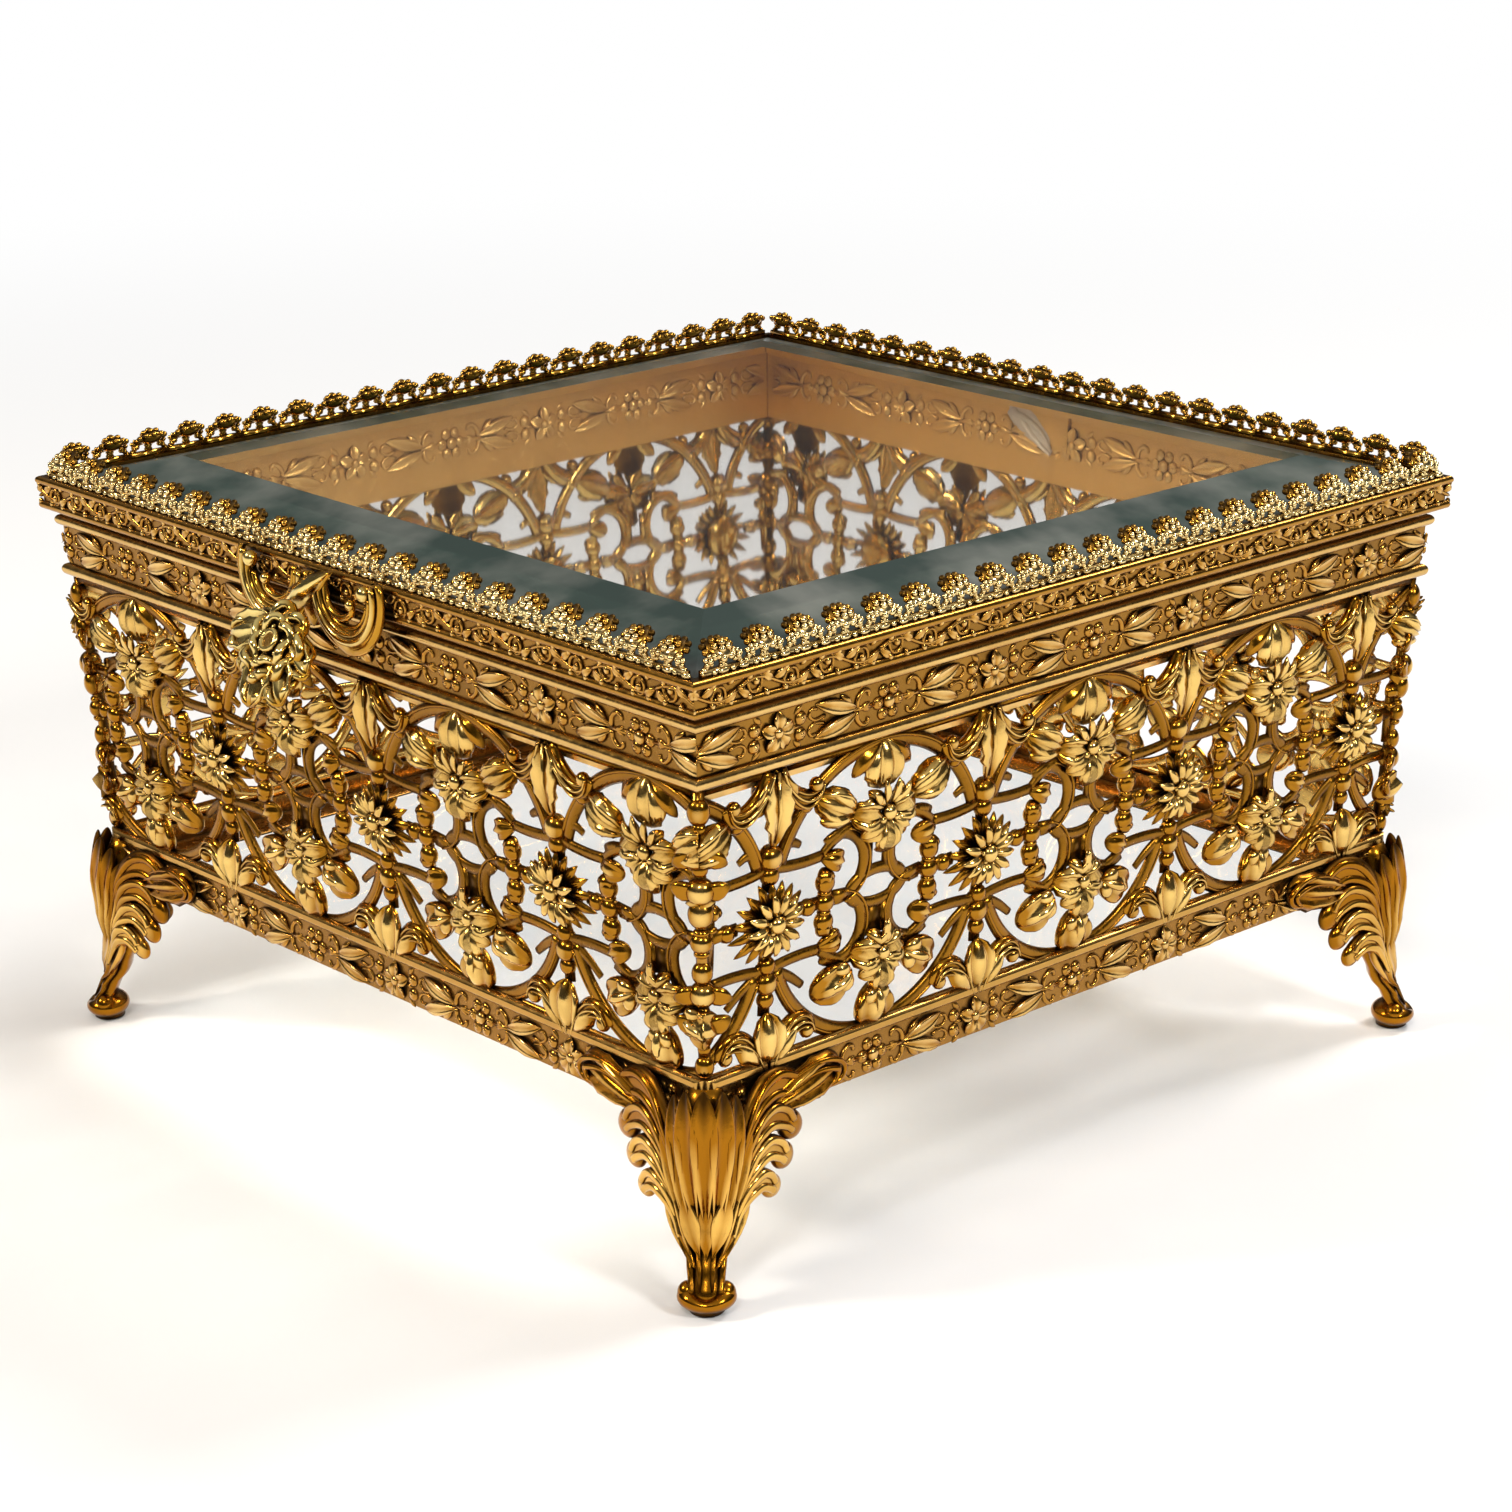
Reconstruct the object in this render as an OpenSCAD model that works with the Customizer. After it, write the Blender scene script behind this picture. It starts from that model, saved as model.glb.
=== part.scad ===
// Square jewel casket of gilt brass: openwork walls between relief bands, a
// bevelled glass lid with a leaning crest gallery, a thumb-piece and four
// cabriole corner feet. Millimetres, +Z up, thumb-piece towards -Y, hinge at +Y.

/* [Box] */
// Outside width of the square lid over its top bead
lid_w = 140; // [110:1:200]
// How far the walls lean outwards, in degrees
wall_lean = 3.8; // [0:0.1:8]
// Height of the base band's underside above the table
foot_clear = 22; // [16:0.5:34]
// Height of the base band
base_band_h = 5.5; // [4:0.1:9]
// Height of the openwork walls
filigree_h = 39.5; // [24:0.5:70]
// Height of the rim bands
rim_band_h = 8.9; // [7:0.1:14]
// Slit between the rim and the closed lid
lid_gap = 0.8; // [0.8:0.05:1.6]
// Height of the lid bands
lid_band_h = 4.7; // [4:0.1:8]
// How far the lid's face stands out over the rim's
lid_overhang = 1.55; // [0.8:0.05:3]

/* [Sheet] */
// Thickness of the openwork walls
filigree_t = 0.9; // [0.6:0.05:1.5]
// Thickness of the base, rim and lid bands
band_t = 1; // [0.7:0.05:1.6]
// Thickness of the rim liner
liner_t = 0.8; // [0.5:0.05:1.4]
// How far the liner laps down behind the walls
liner_lap = 2; // [1:0.1:4]
// Thickness of the floor plate, a sheet of clear glass
floor_t = 2; // [1.5:0.1:3]
// Thickness of the base band's lip under the floor
lip_t = 0.6; // [0.4:0.05:1.2]
// Width of that lip
lip_w = 2.5; // [1.5:0.1:5]
// Fitting clearance between sheet pieces
fit = 0.05; // [0.02:0.01:0.15]

/* [Mouldings] */
// Radius of the base moulding
base_bead_r = 0.9; // [0.6:0.05:1.4]
// Outer corner radius of the base band and moulding
base_corner_r = 2; // [1:0.1:2.4]
// Radius of the rim bands' lower bead
rim_low_bead_r = 0.9; // [0.6:0.05:1.2]
// Radius of the rim bands' upper bead
rim_top_bead_r = 0.8; // [0.6:0.05:1.1]
// Radius of the lid bands' lower bead
lid_low_bead_r = 0.6; // [0.4:0.05:0.9]
// Radius of the lid bands' top bead
lid_top_bead_r = 0.6; // [0.4:0.05:0.9]

/* [Filigree] */
// Width of one repeat of the openwork
repeat_w = 36.4; // [28:0.1:48]
// Width of the openwork's ribs
rib_w = 1.15; // [0.8:0.05:1.6]

/* [Glass] */
// Thickness of the glass
glass_t = 4.8; // [3:0.1:7]
// Thickness left at the bevel's edge
glass_edge_t = 1.6; // [1:0.1:2.2]
// Width of the bevel
bevel_w = 12.6; // [8:0.1:18]
// Clearance round the glass
glass_clear = 0.4; // [0.2:0.05:1]
// Thickness of the sheet of the glass seat, a folded channel
seat_t = 0.8; // [0.5:0.05:1.2]
// Height of that channel
seat_h = 2.8; // [1.5:0.1:4]
// Width of the glass seat
seat_w = 6.5; // [4:0.1:10]

/* [Crests] */
// Wanted spacing of the crests along a side
crest_pitch = 6.4; // [5.5:0.1:9]
// Distance of the end crests from the corners
crest_margin = 4.4; // [3:0.1:6]
// Height of the crests over the lid bands
crest_h = 5.3; // [4:0.1:7]
// How far the crests lean inwards, in degrees
crest_lean = 33; // [10:1:45]
// Thickness of the crests
crest_t = 0.8; // [0.5:0.05:1.2]
// Height of the strip that the crests stand on
crest_strip_h = 0.9; // [0.6:0.05:1.5]

/* [Hinge] */
// Width of the hinge
hinge_w = 10; // [8:0.5:24]
// Place of the hinge along the back, from its middle
hinge_x = -3; // [-20:0.5:20]
// Outside radius of the knuckles
knuckle_r = 1.3; // [1.1:0.05:1.8]
// Radius of the hinge pin
pin_r = 0.5; // [0.4:0.05:0.7]
// Running clearance round the pin
pin_clear = 0.05; // [0.02:0.01:0.1]
// Gap between neighbouring knuckles
knuckle_gap = 0.2; // [0.1:0.05:0.4]
// Gap between the knuckles and the lid
barrel_gap = 0.2; // [0.15:0.05:0.5]
// Thickness of the leaves where they cross the rim
leaf_t = 0.35; // [0.3:0.01:0.39]
// Depth of the body leaf inside the box
leaf_drop = 5.6; // [4:0.1:8]
// Thickness of the body leaf's plate
leaf_plate_t = 0.6; // [0.4:0.05:1]

/* [Thumb-piece] */
// Place of the thumb-piece along the front, from its middle
thumb_x = -3; // [-20:0.5:20]
// Outer radius of each C-scroll
scroll_r = 8.2; // [6:0.1:10]
// Radius of the opening in each C-scroll
scroll_hole_r = 6.3; // [4:0.1:7]
// Thickness of the scroll plate
scroll_t = 1.6; // [1:0.1:2.4]
// Lean of the leaf spray away from the box, in degrees
spray_lean = 35; // [10:1:45]
// Thickness of the leaf spray
spray_t = 1; // [0.7:0.05:1.6]
// Radius of the blossom over its petals
blossom_r = 5.4; // [4:0.1:7]
// Thickness of the blossom
blossom_t = 1.6; // [1:0.1:2.4]
// Radius of the rivet's shank
rivet_r = 0.8; // [0.6:0.05:1]
// Radius of the rivet's head
rivet_head_r = 1.5; // [1.2:0.1:2]

/* [Feet] */
// Reach of the foot's ear along the band, from the corner
ear_reach = 22; // [16:0.5:30]
// Thickness of the foot's wings over the band
wing_t = 1.8; // [1.2:0.1:2.6]
// Radius of the toe
toe_r = 3.6; // [2.6:0.1:5]

/* [Hidden] */

gilt = "goldenrod";
antique = "darkgoldenrod";
bright = "gold";
seen_glass = [0.55, 0.7, 0.68, 0.5];

slope = tan(wall_lean);
far = 2 * lid_w;

// Heights of the joints between the bands, from the table up
z_wall = foot_clear + base_band_h;
z_rim = z_wall + filigree_h;
z_rim_top = z_rim + rim_band_h;
z_lid = z_rim_top + lid_gap;
z_lid_top = z_lid + lid_band_h;

// Half-widths of the outer faces, from the lid down
lid_face_top = lid_w / 2 - lid_top_bead_r;
lid_face = lid_face_top - slope * lid_band_h;
lid_out = lid_face + slope * lid_low_bead_r + lid_low_bead_r;
rim_face_top = lid_face - lid_overhang;
rim_face = rim_face_top - slope * rim_band_h;
band_face = rim_face - slope * filigree_h;

band_in = band_face - band_t;
liner_out = band_t + fit;
z_liner_top = z_lid - 0.25 * lid_gap;
seat_out = lid_face - band_t / cos(wall_lean) - fit;
glass_half = seat_out - glass_clear;
z_glass = z_lid + seat_h;

// The openwork is drawn round its middle line and scaled to the wall's height
wall_slant = filigree_h / cos(wall_lean);
ring_rise = 3.9;
ring_r = 15.2;
leaf_root = ring_rise + ring_r - 0.1;
tile_w = 36.4;
tile_h = 2 * (leaf_root + 0.8);
tile_scale = wall_slant / tile_h;
// The front wall has a daisy near its middle, the right one a flower column
front_phase = repeat_w / 2 + 2.8;

// The hinge axis runs along X behind the lid, in the middle of the slit
hinge_y = lid_out + barrel_gap + knuckle_r;
hinge_z = z_rim_top + lid_gap / 2;
knuckle_w = (hinge_w - 2 * knuckle_gap) / 3;
pin_head_r = 0.65 * knuckle_r;
pin_head_t = 0.4;

// The leaf spray hangs from this line on the scroll plate
spray_y = lid_w / 2 + scroll_t;
spray_z = z_lid - 0.7;
blossom_d = 6;
leaf_d = 3;
tip_d = 16;
front_reach = spray_y + tip_d * sin(spray_lean) + spray_t * cos(spray_lean);
back_reach = hinge_y + knuckle_r;
box_y = (front_reach - back_reach) / 2;

// Moves the casket so that its bounding box is centred over the origin
module centred() translate([0, box_y, 0]) children();

// Turns a front piece to side i: front, right, back, left
module side(i) rotate([0, 0, 90 * i]) children();

// The wedge in front of the centre between two levels, which cuts the mitres
module wedge(z0, z1)
    translate([0, 0, z0])
        linear_extrude(z1 - z0) polygon([[0, 0], [-far, -far], [far, -far]]);

// Stands a piece on the front wall's leaning face: x along it, z up it, +y inwards
module on_face(half, z) translate([0, -half, z]) rotate([wall_lean, 0, 0]) children();

// Extrudes an outline drawn in x and z inwards from depth to depth + t
module plate(t, depth = 0)
    translate([0, depth + t, 0]) rotate([90, 0, 0]) linear_extrude(t) children();

// Runs a section drawn as [inwards, up] along the front
module strip() rotate([90, 0, 90]) translate([0, 0, -far / 2]) linear_extrude(far) children();

module rounded_square(half, r)
    union() {
        square([2 * half, 2 * (half - r)], center = true);
        square([2 * (half - r), 2 * half], center = true);
        for (x = [-1, 1], y = [-1, 1])
            translate([x * (half - r), y * (half - r)]) circle(r, $fn = 32);
    }

module ring(r, w = rib_w)
    difference() {
        circle(r + w / 2, $fn = 48);
        circle(r - w / 2, $fn = 48);
    }

// Straight rib between two points
module rib(a, b, w = rib_w)
    translate(a) rotate(atan2(b[1] - a[1], b[0] - a[0]))
        translate([0, -w / 2]) square([norm(b - a), w]);

// Leaf or petal: where two circles cross, with tips at the origin and [len, 0]
module lens(len, w)
    let (r = (len * len + w * w) / (4 * w))
        intersection() {
            translate([len / 2, r - w / 2]) circle(r, $fn = 64);
            translate([len / 2, w / 2 - r]) circle(r, $fn = 64);
        }

// ---------------------------------------------------------------- openwork

// Upper half of one repeat, drawn over the wall's middle line, from the flower
// column at x = 0 to the daisies at either side
module half_repeat()
    union() {
        // big ring round the column, C-scrolls inside it and the middle ellipse
        intersection() {
            translate([0, ring_rise]) ring(ring_r);
            translate([-tile_w / 2, 5]) square([tile_w, leaf_root - 5]);
        }
        for (s = [-1, 1]) {
            intersection() {
                translate([s * 6.3, 4.2]) ring(4.1);
                translate([s > 0 ? 0 : -7.4, 0]) square([7.4, 9]);
            }
            rib([s * 7.2, 6.4], [s * (ring_r + 0.2), 6.6]);
            rib([s * (ring_r - 0.2), 6.2], [s * 11.5, 0.2]);
            translate([s * 7.2, 5.6]) circle(1.7, $fn = 24);
            translate([s * 9.4, 2.6]) circle(1.5, $fn = 24);
            rib([s * 9.4, 0], [s * 8.4, 5]);
            translate([s * 5, 10.6]) rotate(s > 0 ? 16 : 164) lens(7.4, 3.8);
        }
        rib([-4.6, 2.3], [4.6, 2.3]);
        // blossom and bud of the column
        translate([0, 9.9]) circle(4.1, $fn = 32);
        translate([0, leaf_root - 3.8]) circle(3, $fn = 32);
        rib([0, 10], [0, leaf_root], 2 * rib_w);
    }

// Hanging leaf with two curls over a daisy, and the beads below it
module palmette(bottom)
    union() {
        translate([0, leaf_root]) rotate(-90) lens(9.6, 4.4);
        for (s = [-1, 1])
            intersection() {
                translate([s * 3.4, leaf_root - 1.6]) ring(2.7, 1.3);
                translate([-7, leaf_root - (bottom ? 5 : 5.4)]) square([14, 4]);
            }
        translate([0, 7.4]) circle(1.5, $fn = 24);
        rib([0, 4], [0, leaf_root - 8]);
    }

module daisy() circle(4.3, $fn = 32);

// One repeat, mirrored about the wall's middle line
module repeat()
    union() {
        translate([0, tile_h / 2])
            for (m = [0, 1])
                mirror([0, m, 0]) {
                    half_repeat();
                    translate([tile_w / 2, 0]) palmette(m == 1);
                }
        translate([tile_w / 2, tile_h / 2]) daisy();
        translate([tile_w / 2 - 9.1, tile_h / 2 - rib_w / 2]) square([18.2, rib_w]);
    }

// The openwork of one side; phase moves it along the wall
module openwork(phase) {
    pitch = repeat_w * tile_scale;
    count = ceil(lid_w / pitch / 2) + 1;
    rail = 1.9;
    edge_w = 0.8;
    union() {
        for (k = [-count:count - 1])
            translate([k * pitch + phase, 0]) scale(tile_scale) repeat();
        translate([-lid_w / 2, 0]) square([lid_w, rail]);
        translate([-lid_w / 2, wall_slant - 0.8]) square([lid_w, 0.8]);
        for (s = [-1, 1])
            rib([s * (band_face - edge_w), -1], [s * (rim_face - edge_w), wall_slant + 1],
                2 * edge_w + 1);
    }
}

module filigree(i, phase)
    color(gilt)
        side(i)
            intersection() {
                wedge(z_wall, z_rim);
                on_face(band_face, z_wall) plate(filigree_t) openwork(phase);
            }

// ---------------------------------------------------------------- box body

module floor_plate()
    color(seen_glass)
        translate([0, 0, foot_clear + lip_t])
            linear_extrude(floor_t) square(2 * (band_in - fit), center = true);

module base_band()
    color(antique)
        difference() {
            translate([0, 0, foot_clear])
                linear_extrude(base_band_h) rounded_square(band_face, base_corner_r);
            translate([0, 0, foot_clear + lip_t])
                linear_extrude(base_band_h) square(2 * band_in, center = true);
            translate([0, 0, foot_clear - 1])
                linear_extrude(base_band_h) square(2 * (band_in - lip_w), center = true);
        }

// The half of a wire that stands out from the walls, with rounded corners
module base_moulding()
    color(bright)
        intersection() {
            for (i = [0:3])
                side(i)
                    intersection() {
                        wedge(z_wall, z_wall + 2 * base_bead_r);
                        on_face(band_face, z_wall)
                            strip()
                                intersection() {
                                    translate([0, base_bead_r]) circle(base_bead_r, $fn = 32);
                                    translate([-2 * base_bead_r, -base_bead_r])
                                        square([2 * base_bead_r, 4 * base_bead_r]);
                                }
                    }
            translate([0, 0, z_wall])
                linear_extrude(2 * base_bead_r)
                    rounded_square(band_face + base_bead_r, base_corner_r);
        }

module rim_band(i)
    color(antique)
        side(i)
            intersection() {
                wedge(z_rim, z_rim_top);
                on_face(band_face, z_wall)
                    translate([0, 0, wall_slant])
                        strip() {
                            slant = rim_band_h / cos(wall_lean);
                            translate([0, -0.1]) square([band_t, slant + 0.2]);
                            translate([0, rim_low_bead_r]) circle(rim_low_bead_r, $fn = 32);
                            translate([0, slant - rim_top_bead_r])
                                circle(rim_top_bead_r, $fn = 32);
                        }
            }

// Everything inside the four leaning planes that lie depth behind the walls' faces
module inside_walls(depth)
    intersection_for (i = [0:3])
        side(i) on_face(band_face, z_wall) strip() translate([depth, -far]) square(2 * far);

// Backs the rim bands, laps down behind the walls and stands up into the slit
// for the lid to rest on; it is cut away at the back for the hinge
module rim_liner()
    color(gilt)
        difference() {
            intersection() {
                inside_walls(liner_out);
                translate([-far / 2, -far / 2, z_rim - liner_lap])
                    cube([far, far, z_liner_top - z_rim + liner_lap]);
            }
            inside_walls(liner_out + liner_t);
            translate([hinge_x - hinge_w / 2 - 4 * fit, rim_face_top / 2, z_rim_top])
                cube([hinge_w + 8 * fit, rim_face_top, lid_gap]);
        }

// ---------------------------------------------------------------- feet

// Lobe of a wing: a rounded leaf end from its root to its tip
module lobe(root, tip, r)
    hull() {
        translate(root) circle(r * 0.7, $fn = 20);
        translate(tip) circle(r, $fn = 20);
    }

// Outline of one wing: distance from the corner, height over the table
module wing_outline()
    intersection() {
        union() {
            lobe([3, 0.62 * z_wall], [0.55 * ear_reach, 0.83 * z_wall], 2.6);
            lobe([0.55 * ear_reach, 0.83 * z_wall], [ear_reach - 2.5, z_wall - 2.7], 2.5);
            lobe([2.5, 0.46 * z_wall], [0.66 * ear_reach, 0.71 * z_wall], 2.3);
            lobe([2, 0.34 * z_wall], [0.56 * ear_reach, 0.6 * z_wall], 2.1);
            lobe([1.5, 0.24 * z_wall], [0.42 * ear_reach, 0.49 * z_wall], 1.9);
            polygon([[-wing_t, 0.2 * z_wall], [3.4, 0.2 * z_wall], [0.38 * ear_reach, 0.5 * z_wall],
                [0.5 * ear_reach, 0.8 * z_wall], [0.5 * ear_reach, z_wall], [-wing_t, z_wall]]);
        }
        translate([-wing_t, 0]) square([ear_reach + wing_t, z_wall - 2 * fit]);
    }

// The leg: discs on the corner's diagonal as [distance per axis, height, radius]
function leg_stations(c) = [
    [c - 1.9, z_wall + 1, 4.5],
    [c - 1.7, 0.8 * z_wall, 4.3],
    [c - 1.1, 0.62 * z_wall, 4],
    [c - 0.1, 0.4 * z_wall, 3.2],
    [c + 0.1, 0.22 * z_wall, 2.5],
    [c + 1, 3.4, toe_r - 0.9],
    [c + 1.9, 1.6, toe_r],
    [c + 1.9, 0, toe_r - 0.8]];

// Flutes of the leg's face as [turn about the leg, radius]
flutes = [[-50, 0.9], [-25, 1.1], [0, 1.2], [25, 1.1], [50, 0.9]];

module leg(c) {
    stations = leg_stations(c);
    for (k = [0:len(stations) - 2])
        hull()
            for (p = [stations[k], stations[k + 1]])
                translate([p[0], -p[0], p[1]]) cylinder(r = p[2], h = 0.01, $fn = 28);
    for (flute = flutes)
        for (k = [0:3])
            hull()
                for (p = [stations[k], stations[k + 1]])
                    translate([p[0], -p[0], p[1]]) rotate(flute[0] - 45)
                        translate([p[2], 0, 0]) cylinder(r = flute[1], h = 0.01, $fn = 12);
}

// Foot under the front right corner, turned to corner i
module foot(i)
    color(gilt)
        side(i)
            difference() {
                union() {
                    leg(band_face);
                    translate([band_face, -band_face, 0])
                        rotate([90, 0, 0])
                            linear_extrude(wing_t) mirror([1, 0]) wing_outline();
                    translate([band_face, -band_face, 0])
                        rotate([90, 0, 90])
                            linear_extrude(wing_t) wing_outline();
                }
                translate([0, 0, foot_clear])
                    linear_extrude(z_wall) rounded_square(band_face + fit, base_corner_r);
                translate([0, 0, z_wall - fit])
                    linear_extrude(z_wall) square(far, center = true);
            }

// ---------------------------------------------------------------- hinge

// Knuckle on the hinge axis from x to x + knuckle_w
module knuckle(x)
    translate([x, hinge_y, hinge_z])
        rotate([0, 90, 0]) cylinder(r = knuckle_r, h = knuckle_w, $fn = 48);

module pin_bore()
    translate([hinge_x, hinge_y, hinge_z])
        rotate([0, 90, 0])
            cylinder(r = pin_r + pin_clear, h = 2 * hinge_w, center = true, $fn = 48);

hinge_start = hinge_x - hinge_w / 2;
knuckle_step = knuckle_w + knuckle_gap;

// Two knuckles, tabs over the rim and a plate down the inside of the liner
module hinge_leaf_body()
    color(gilt)
        difference() {
            union() {
                for (k = [0, 2]) {
                    knuckle(hinge_start + k * knuckle_step);
                    translate([hinge_start + k * knuckle_step, rim_face_top - 2 * liner_out,
                        z_rim_top])
                        cube([knuckle_w, hinge_y - 0.7 * knuckle_r - rim_face_top + 2 * liner_out,
                            leaf_t]);
                }
                intersection() {
                    translate([hinge_start, 0, z_rim_top - leaf_drop])
                        cube([hinge_w, far, leaf_drop + leaf_t]);
                    side(2)
                        on_face(band_face, z_wall)
                            strip() translate([liner_out + liner_t, 0]) square([leaf_plate_t, far]);
                }
                translate([hinge_start, rim_face_top - liner_out - liner_t - leaf_plate_t,
                    z_rim_top])
                    cube([hinge_w, liner_t + leaf_plate_t, leaf_t]);
            }
            pin_bore();
        }

// One knuckle and a tongue under the lid, soldered to the glass seat
module hinge_leaf_lid()
    color(gilt)
        difference() {
            union() {
                knuckle(hinge_start + knuckle_step);
                translate([hinge_start + knuckle_step, seat_out - seat_w + 1, z_lid - leaf_t])
                    cube([knuckle_w, hinge_y - 0.7 * knuckle_r - seat_out + seat_w - 1, leaf_t]);
                translate([hinge_start, seat_out - seat_w + 1, z_lid - leaf_t])
                    cube([hinge_w, lid_face - seat_out + seat_w - 1, leaf_t]);
            }
            pin_bore();
        }

module hinge_pin()
    color(antique)
        translate([hinge_x, hinge_y, hinge_z])
            rotate([0, 90, 0]) {
                cylinder(r = pin_r, h = hinge_w + 2 * fit, center = true, $fn = 32);
                for (s = [-1, 1])
                    translate([0, 0, s * (hinge_w / 2 + fit + pin_head_t / 2)])
                        cylinder(r = pin_head_r, h = pin_head_t, center = true, $fn = 32);
            }

// ---------------------------------------------------------------- lid

module lid_band(i)
    color(antique)
        side(i)
            intersection() {
                wedge(z_lid, z_lid_top);
                on_face(lid_face, z_lid)
                    strip() {
                        slant = lid_band_h / cos(wall_lean);
                        translate([0, -0.1]) square([band_t, slant + 0.2]);
                        translate([0, lid_low_bead_r]) circle(lid_low_bead_r, $fn = 32);
                        translate([0, slant - lid_top_bead_r])
                            circle(lid_top_bead_r, $fn = 32);
                    }
            }

// A channel of folded sheet, open below, with the glass on its top
module glass_seat()
    color(antique)
        translate([0, 0, z_lid])
            difference() {
                linear_extrude(seat_h) square(2 * seat_out, center = true);
                translate([0, 0, -1])
                    linear_extrude(seat_h + 2) square(2 * (seat_out - seat_w), center = true);
                translate([0, 0, -1])
                    linear_extrude(seat_h - seat_t + 1)
                        difference() {
                            square(2 * (seat_out - seat_t), center = true);
                            square(2 * (seat_out - seat_w + seat_t), center = true);
                        }
            }

// Section of the glass across the lid, with both bevels
module glass_section()
    polygon([[-glass_half, 0], [glass_half, 0], [glass_half, glass_edge_t],
        [glass_half - bevel_w, glass_t], [bevel_w - glass_half, glass_t],
        [-glass_half, glass_edge_t]]);

module glass_panel()
    color(seen_glass)
        translate([0, 0, z_glass])
            intersection_for (turn = [0, 90])
                rotate([90, 0, turn])
                    linear_extrude(2 * lid_w, center = true) glass_section();

// ---------------------------------------------------------------- crests

crest_slant = crest_h / cos(crest_lean);
// Where a crest's foot stands on the lid bands
crest_foot = lid_face_top - band_t / 2;

// A trefoil head on a stem with a slanting leg at either side
module crest()
    union() {
        translate([0, crest_slant - 1.2]) circle(1.2, $fn = 24);
        for (s = [-1, 1]) {
            translate([s * 0.95, crest_slant - 2.3]) circle(0.95, $fn = 24);
            rib([s * 1.2, crest_slant - 2.6], [s * 2.4, crest_strip_h / 2], 0.5);
        }
        rib([0, 0], [0, crest_slant - 2], 0.6);
    }

// Stands an outline on the lid's top edge, leaning in over the glass
module leaning(half)
    translate([0, -half, z_lid_top]) rotate([-crest_lean, 0, 0]) plate(crest_t, -crest_t / 2)
        children();

module crest_gallery(i)
    color(gilt)
        side(i)
            intersection() {
                wedge(z_lid_top, z_lid_top + 2 * crest_h);
                leaning(crest_foot)
                    union() {
                        reach = crest_foot - crest_margin;
                        steps = floor(2 * reach / crest_pitch);
                        for (k = [0:steps])
                            translate([k * 2 * reach / steps - reach, 0]) crest();
                        translate([-lid_w / 2, -1]) square([lid_w, 1 + crest_strip_h]);
                    }
            }

// ---------------------------------------------------------------- thumb-piece

// Moves a piece to the leaf spray: x across, y down the spray, z out of it
module on_spray() translate([thumb_x, -spray_y, spray_z]) rotate([-90 - spray_lean, 0, 0])
    mirror([0, 0, 1]) children();

scroll_drop = 1.3;

module thumb_scroll_plate()
    color(gilt)
        union() {
            translate([thumb_x, -lid_w / 2, 0])
                rotate([90, 0, 0])
                    linear_extrude(scroll_t)
                        intersection() {
                            union() {
                                for (s = [-1, 1])
                                    translate([s * scroll_r, z_lid_top - scroll_drop])
                                        difference() {
                                            circle(scroll_r, $fn = 64);
                                            translate([s * 0.5, 1.2])
                                                circle(scroll_hole_r, $fn = 64);
                                        }
                                polygon([[-5, z_lid - 3.2], [5, z_lid - 3.2],
                                    [1.5, z_lid_top], [-1.5, z_lid_top]]);
                            }
                            translate([-far / 2, 0]) square([far, z_lid_top]);
                        }
            difference() {
                on_spray() translate([-3, -1.5, -spray_t]) cube([6, blossom_d + 4, spray_t]);
                on_spray() rivet_bore();
                translate([-far / 2, -lid_w / 2, 0]) cube(far);
            }
        }

module rivet_bore()
    translate([0, blossom_d, -far / 2]) cylinder(r = rivet_r + fit, h = far, $fn = 32);

// Leaves of the spray as [turn from straight down, length, width]
leaves = [[58, 15, 5], [28, 14, 4.6], [0, tip_d - leaf_d, 4.2], [-24, 13.5, 4.4]];

module thumb_leaf_spray()
    color(gilt)
        on_spray()
            difference() {
                linear_extrude(spray_t)
                    union() {
                        for (leaf = leaves)
                            translate([0, leaf_d]) rotate(90 + leaf[0]) lens(leaf[1], leaf[2]);
                        translate([0, blossom_d]) circle(3, $fn = 32);
                    }
                rivet_bore();
            }

module thumb_blossom()
    color(bright)
        on_spray()
            difference() {
                translate([0, blossom_d, spray_t])
                    linear_extrude(blossom_t)
                        union() {
                            circle(0.5 * blossom_r, $fn = 32);
                            for (k = [0:5])
                                rotate(60 * k) translate([0.62 * blossom_r, 0])
                                    circle(0.38 * blossom_r, $fn = 32);
                        }
                rivet_bore();
            }

module thumb_rivet()
    color(bright)
        on_spray()
            translate([0, blossom_d, 0]) {
                translate([0, 0, -spray_t]) cylinder(r = rivet_r, h = 2 * spray_t + blossom_t,
                    $fn = 32);
                translate([0, 0, spray_t + blossom_t]) cylinder(r = rivet_head_r, h = 0.7,
                    $fn = 32);
                translate([0, 0, -spray_t - 0.5]) cylinder(r = 1.2, h = 0.5, $fn = 32);
            }

centred() floor_plate();
centred() base_band();
centred() base_moulding();
centred() filigree(0, front_phase);  // filigree_front
centred() filigree(1, 0);  // filigree_right
centred() filigree(2, front_phase);  // filigree_back
centred() filigree(3, 0);  // filigree_left
centred() rim_band(0);  // rim_band_front
centred() rim_band(1);  // rim_band_right
centred() rim_band(2);  // rim_band_back
centred() rim_band(3);  // rim_band_left
centred() rim_liner();
centred() foot(0);  // foot_front_right
centred() foot(1);  // foot_back_right
centred() foot(2);  // foot_back_left
centred() foot(3);  // foot_front_left
centred() hinge_leaf_body();
centred() hinge_leaf_lid();
centred() hinge_pin();
centred() lid_band(0);  // lid_band_front
centred() lid_band(1);  // lid_band_right
centred() lid_band(2);  // lid_band_back
centred() lid_band(3);  // lid_band_left
centred() glass_seat();
centred() glass_panel();
centred() crest_gallery(0);  // crest_gallery_front
centred() crest_gallery(1);  // crest_gallery_right
centred() crest_gallery(2);  // crest_gallery_back
centred() crest_gallery(3);  // crest_gallery_left
centred() thumb_scroll_plate();
centred() thumb_leaf_spray();
centred() thumb_blossom();
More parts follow.
